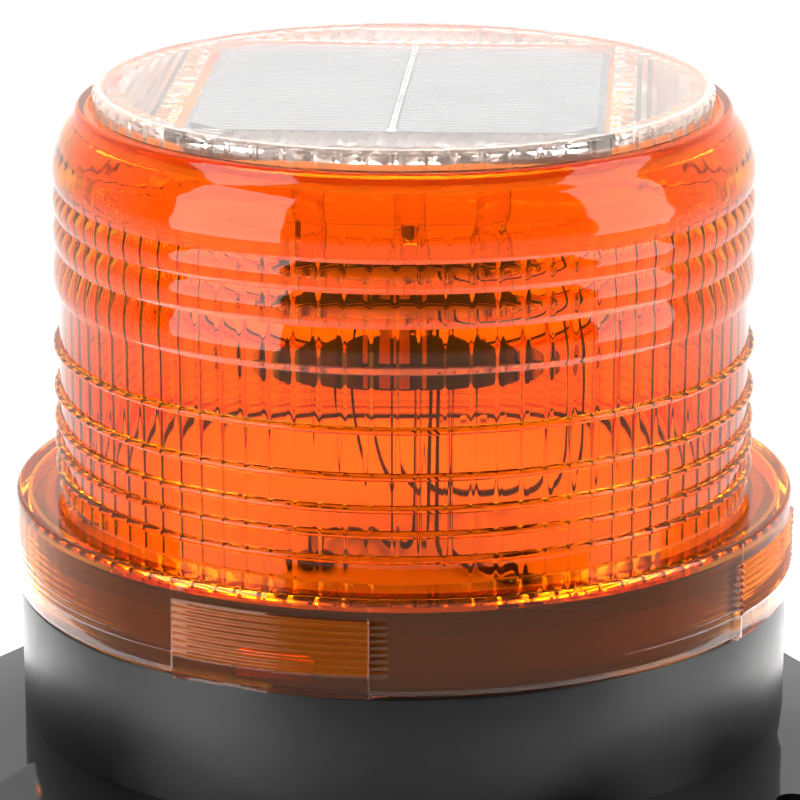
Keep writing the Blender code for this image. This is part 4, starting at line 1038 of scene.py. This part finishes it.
def add_world():
    """White studio that is darker on the camera's side; the camera itself sees plain white."""
    world = bpy.data.worlds.new("studio")
    bpy.context.scene.world = world
    world.use_nodes = True
    tree = world.node_tree
    background = tree.nodes["Background"]
    direction = tree.nodes.new("ShaderNodeTexCoord")
    axes = tree.nodes.new("ShaderNodeSeparateXYZ")
    tree.links.new(direction.outputs["Generated"], axes.inputs["Vector"])
    back = blended(tree, axes.outputs["Z"], BACK_HEIGHTS, BACK_BELOW, BACK_ABOVE)
    front = blended(tree, axes.outputs["Z"], FRONT_HEIGHTS, FRONT_BELOW, FRONT_SIDE)
    facing = blended(tree, axes.outputs["Y"], FRONT_TO_BACK, FRONT_SIDE, BACK_ABOVE)
    tree.links.new(front.outputs["Result"], facing.inputs["To Min"])
    tree.links.new(back.outputs["Result"], facing.inputs["To Max"])
    seen = tree.nodes.new("ShaderNodeLightPath")
    strength = tree.nodes.new("ShaderNodeMix")
    tree.links.new(seen.outputs["Is Camera Ray"], strength.inputs[0])
    tree.links.new(facing.outputs["Result"], strength.inputs[2])
    strength.inputs[3].default_value = CAMERA_WHITE
    tree.links.new(strength.outputs[0], background.inputs["Strength"])
    background.inputs["Color"].default_value = (1.0, 1.0, 1.0, 1.0)


def blended(tree, source, span, low, high):
    """Map Range node from a span of the source to low and high."""
    made = node(tree, "ShaderNodeMapRange", From_Min=span[0], From_Max=span[1], To_Min=low, To_Max=high)
    tree.links.new(source, made.inputs["Value"])
    return made


def from_axis(degrees):
    """Level direction away from the lens axis, degrees from the camera's side."""
    turn = math.radians(degrees + CAMERA_AZIMUTH)
    return Vector((math.sin(turn), -math.cos(turn), 0.0))


def add_softbox(name, spot, away, width, height, power):
    light = bpy.data.lights.new(name, "AREA")
    light.shape = "RECTANGLE"
    light.size = width
    light.size_y = height
    light.energy = power
    lamp = bpy.data.objects.new(name, light)
    lamp.location = spot
    lamp.rotation_euler = away.to_track_quat("Z", "Y").to_euler()
    bpy.context.scene.collection.objects.link(lamp)
    return lamp


def add_floor():
    mesh = bpy.data.meshes.new("floor")
    sheet = bmesh.new()
    bmesh.ops.create_circle(sheet, cap_ends=True, segments=128, radius=FLOOR_R)
    sheet.to_mesh(mesh)
    sheet.free()
    floor = new_object("floor", mesh, FLOOR)
    floor.location.z = -FLOOR_DROP


def add_lights():
    low, high = SOFTBOX_HEIGHTS
    up = Vector((0.0, 0.0, 1.0))
    for name, azimuth, width, power in SOFTBOXES:
        away = from_axis(azimuth)
        add_softbox(name, away * SOFTBOX_DISTANCE + up * (low + high) / 2.0, away, width, high - low, power)
    width, height, power = TOP_LIGHT
    unseen = [add_softbox("top_light", Vector((0.0, TOP_LIGHT_BACK, height)), up, width, width, power)]
    width, height, power = BACK_LIGHT
    for name, azimuth in BACK_LIGHTS:
        away = from_axis(azimuth) + up
        unseen.append(add_softbox(name, away * height, away, width, width, power))
    for lamp in unseen:
        lamp.visible_glossy = False


def add_camera():
    camera_data = bpy.data.cameras.new("camera")
    camera_data.lens = LENS_MM
    camera_data.sensor_width = SENSOR_MM
    camera = bpy.data.objects.new("camera", camera_data)
    turn = math.radians(CAMERA_AZIMUTH)
    tilt = math.radians(CAMERA_ELEVATION)
    away = Vector((math.sin(turn) * math.cos(tilt), -math.cos(turn) * math.cos(tilt), math.sin(tilt)))
    target = Matrix.Rotation(turn, 3, "Z") @ CAMERA_TARGET
    camera.location = target + away * CAMERA_DISTANCE
    camera.rotation_euler = away.to_track_quat("Z", "Y").to_euler()
    bpy.context.scene.collection.objects.link(camera)
    bpy.context.scene.camera = camera


dress_nodes()
add_amber_lens()
add_bayonet_lugs()
add_clear_cap()
add_housing()
add_plate()
add_seals()
add_led_drum()
add_cells()
add_bus()
add_wires()
add_floor()
add_world()
add_lights()
add_camera()
bpy.context.scene.view_settings.view_transform = "Standard"
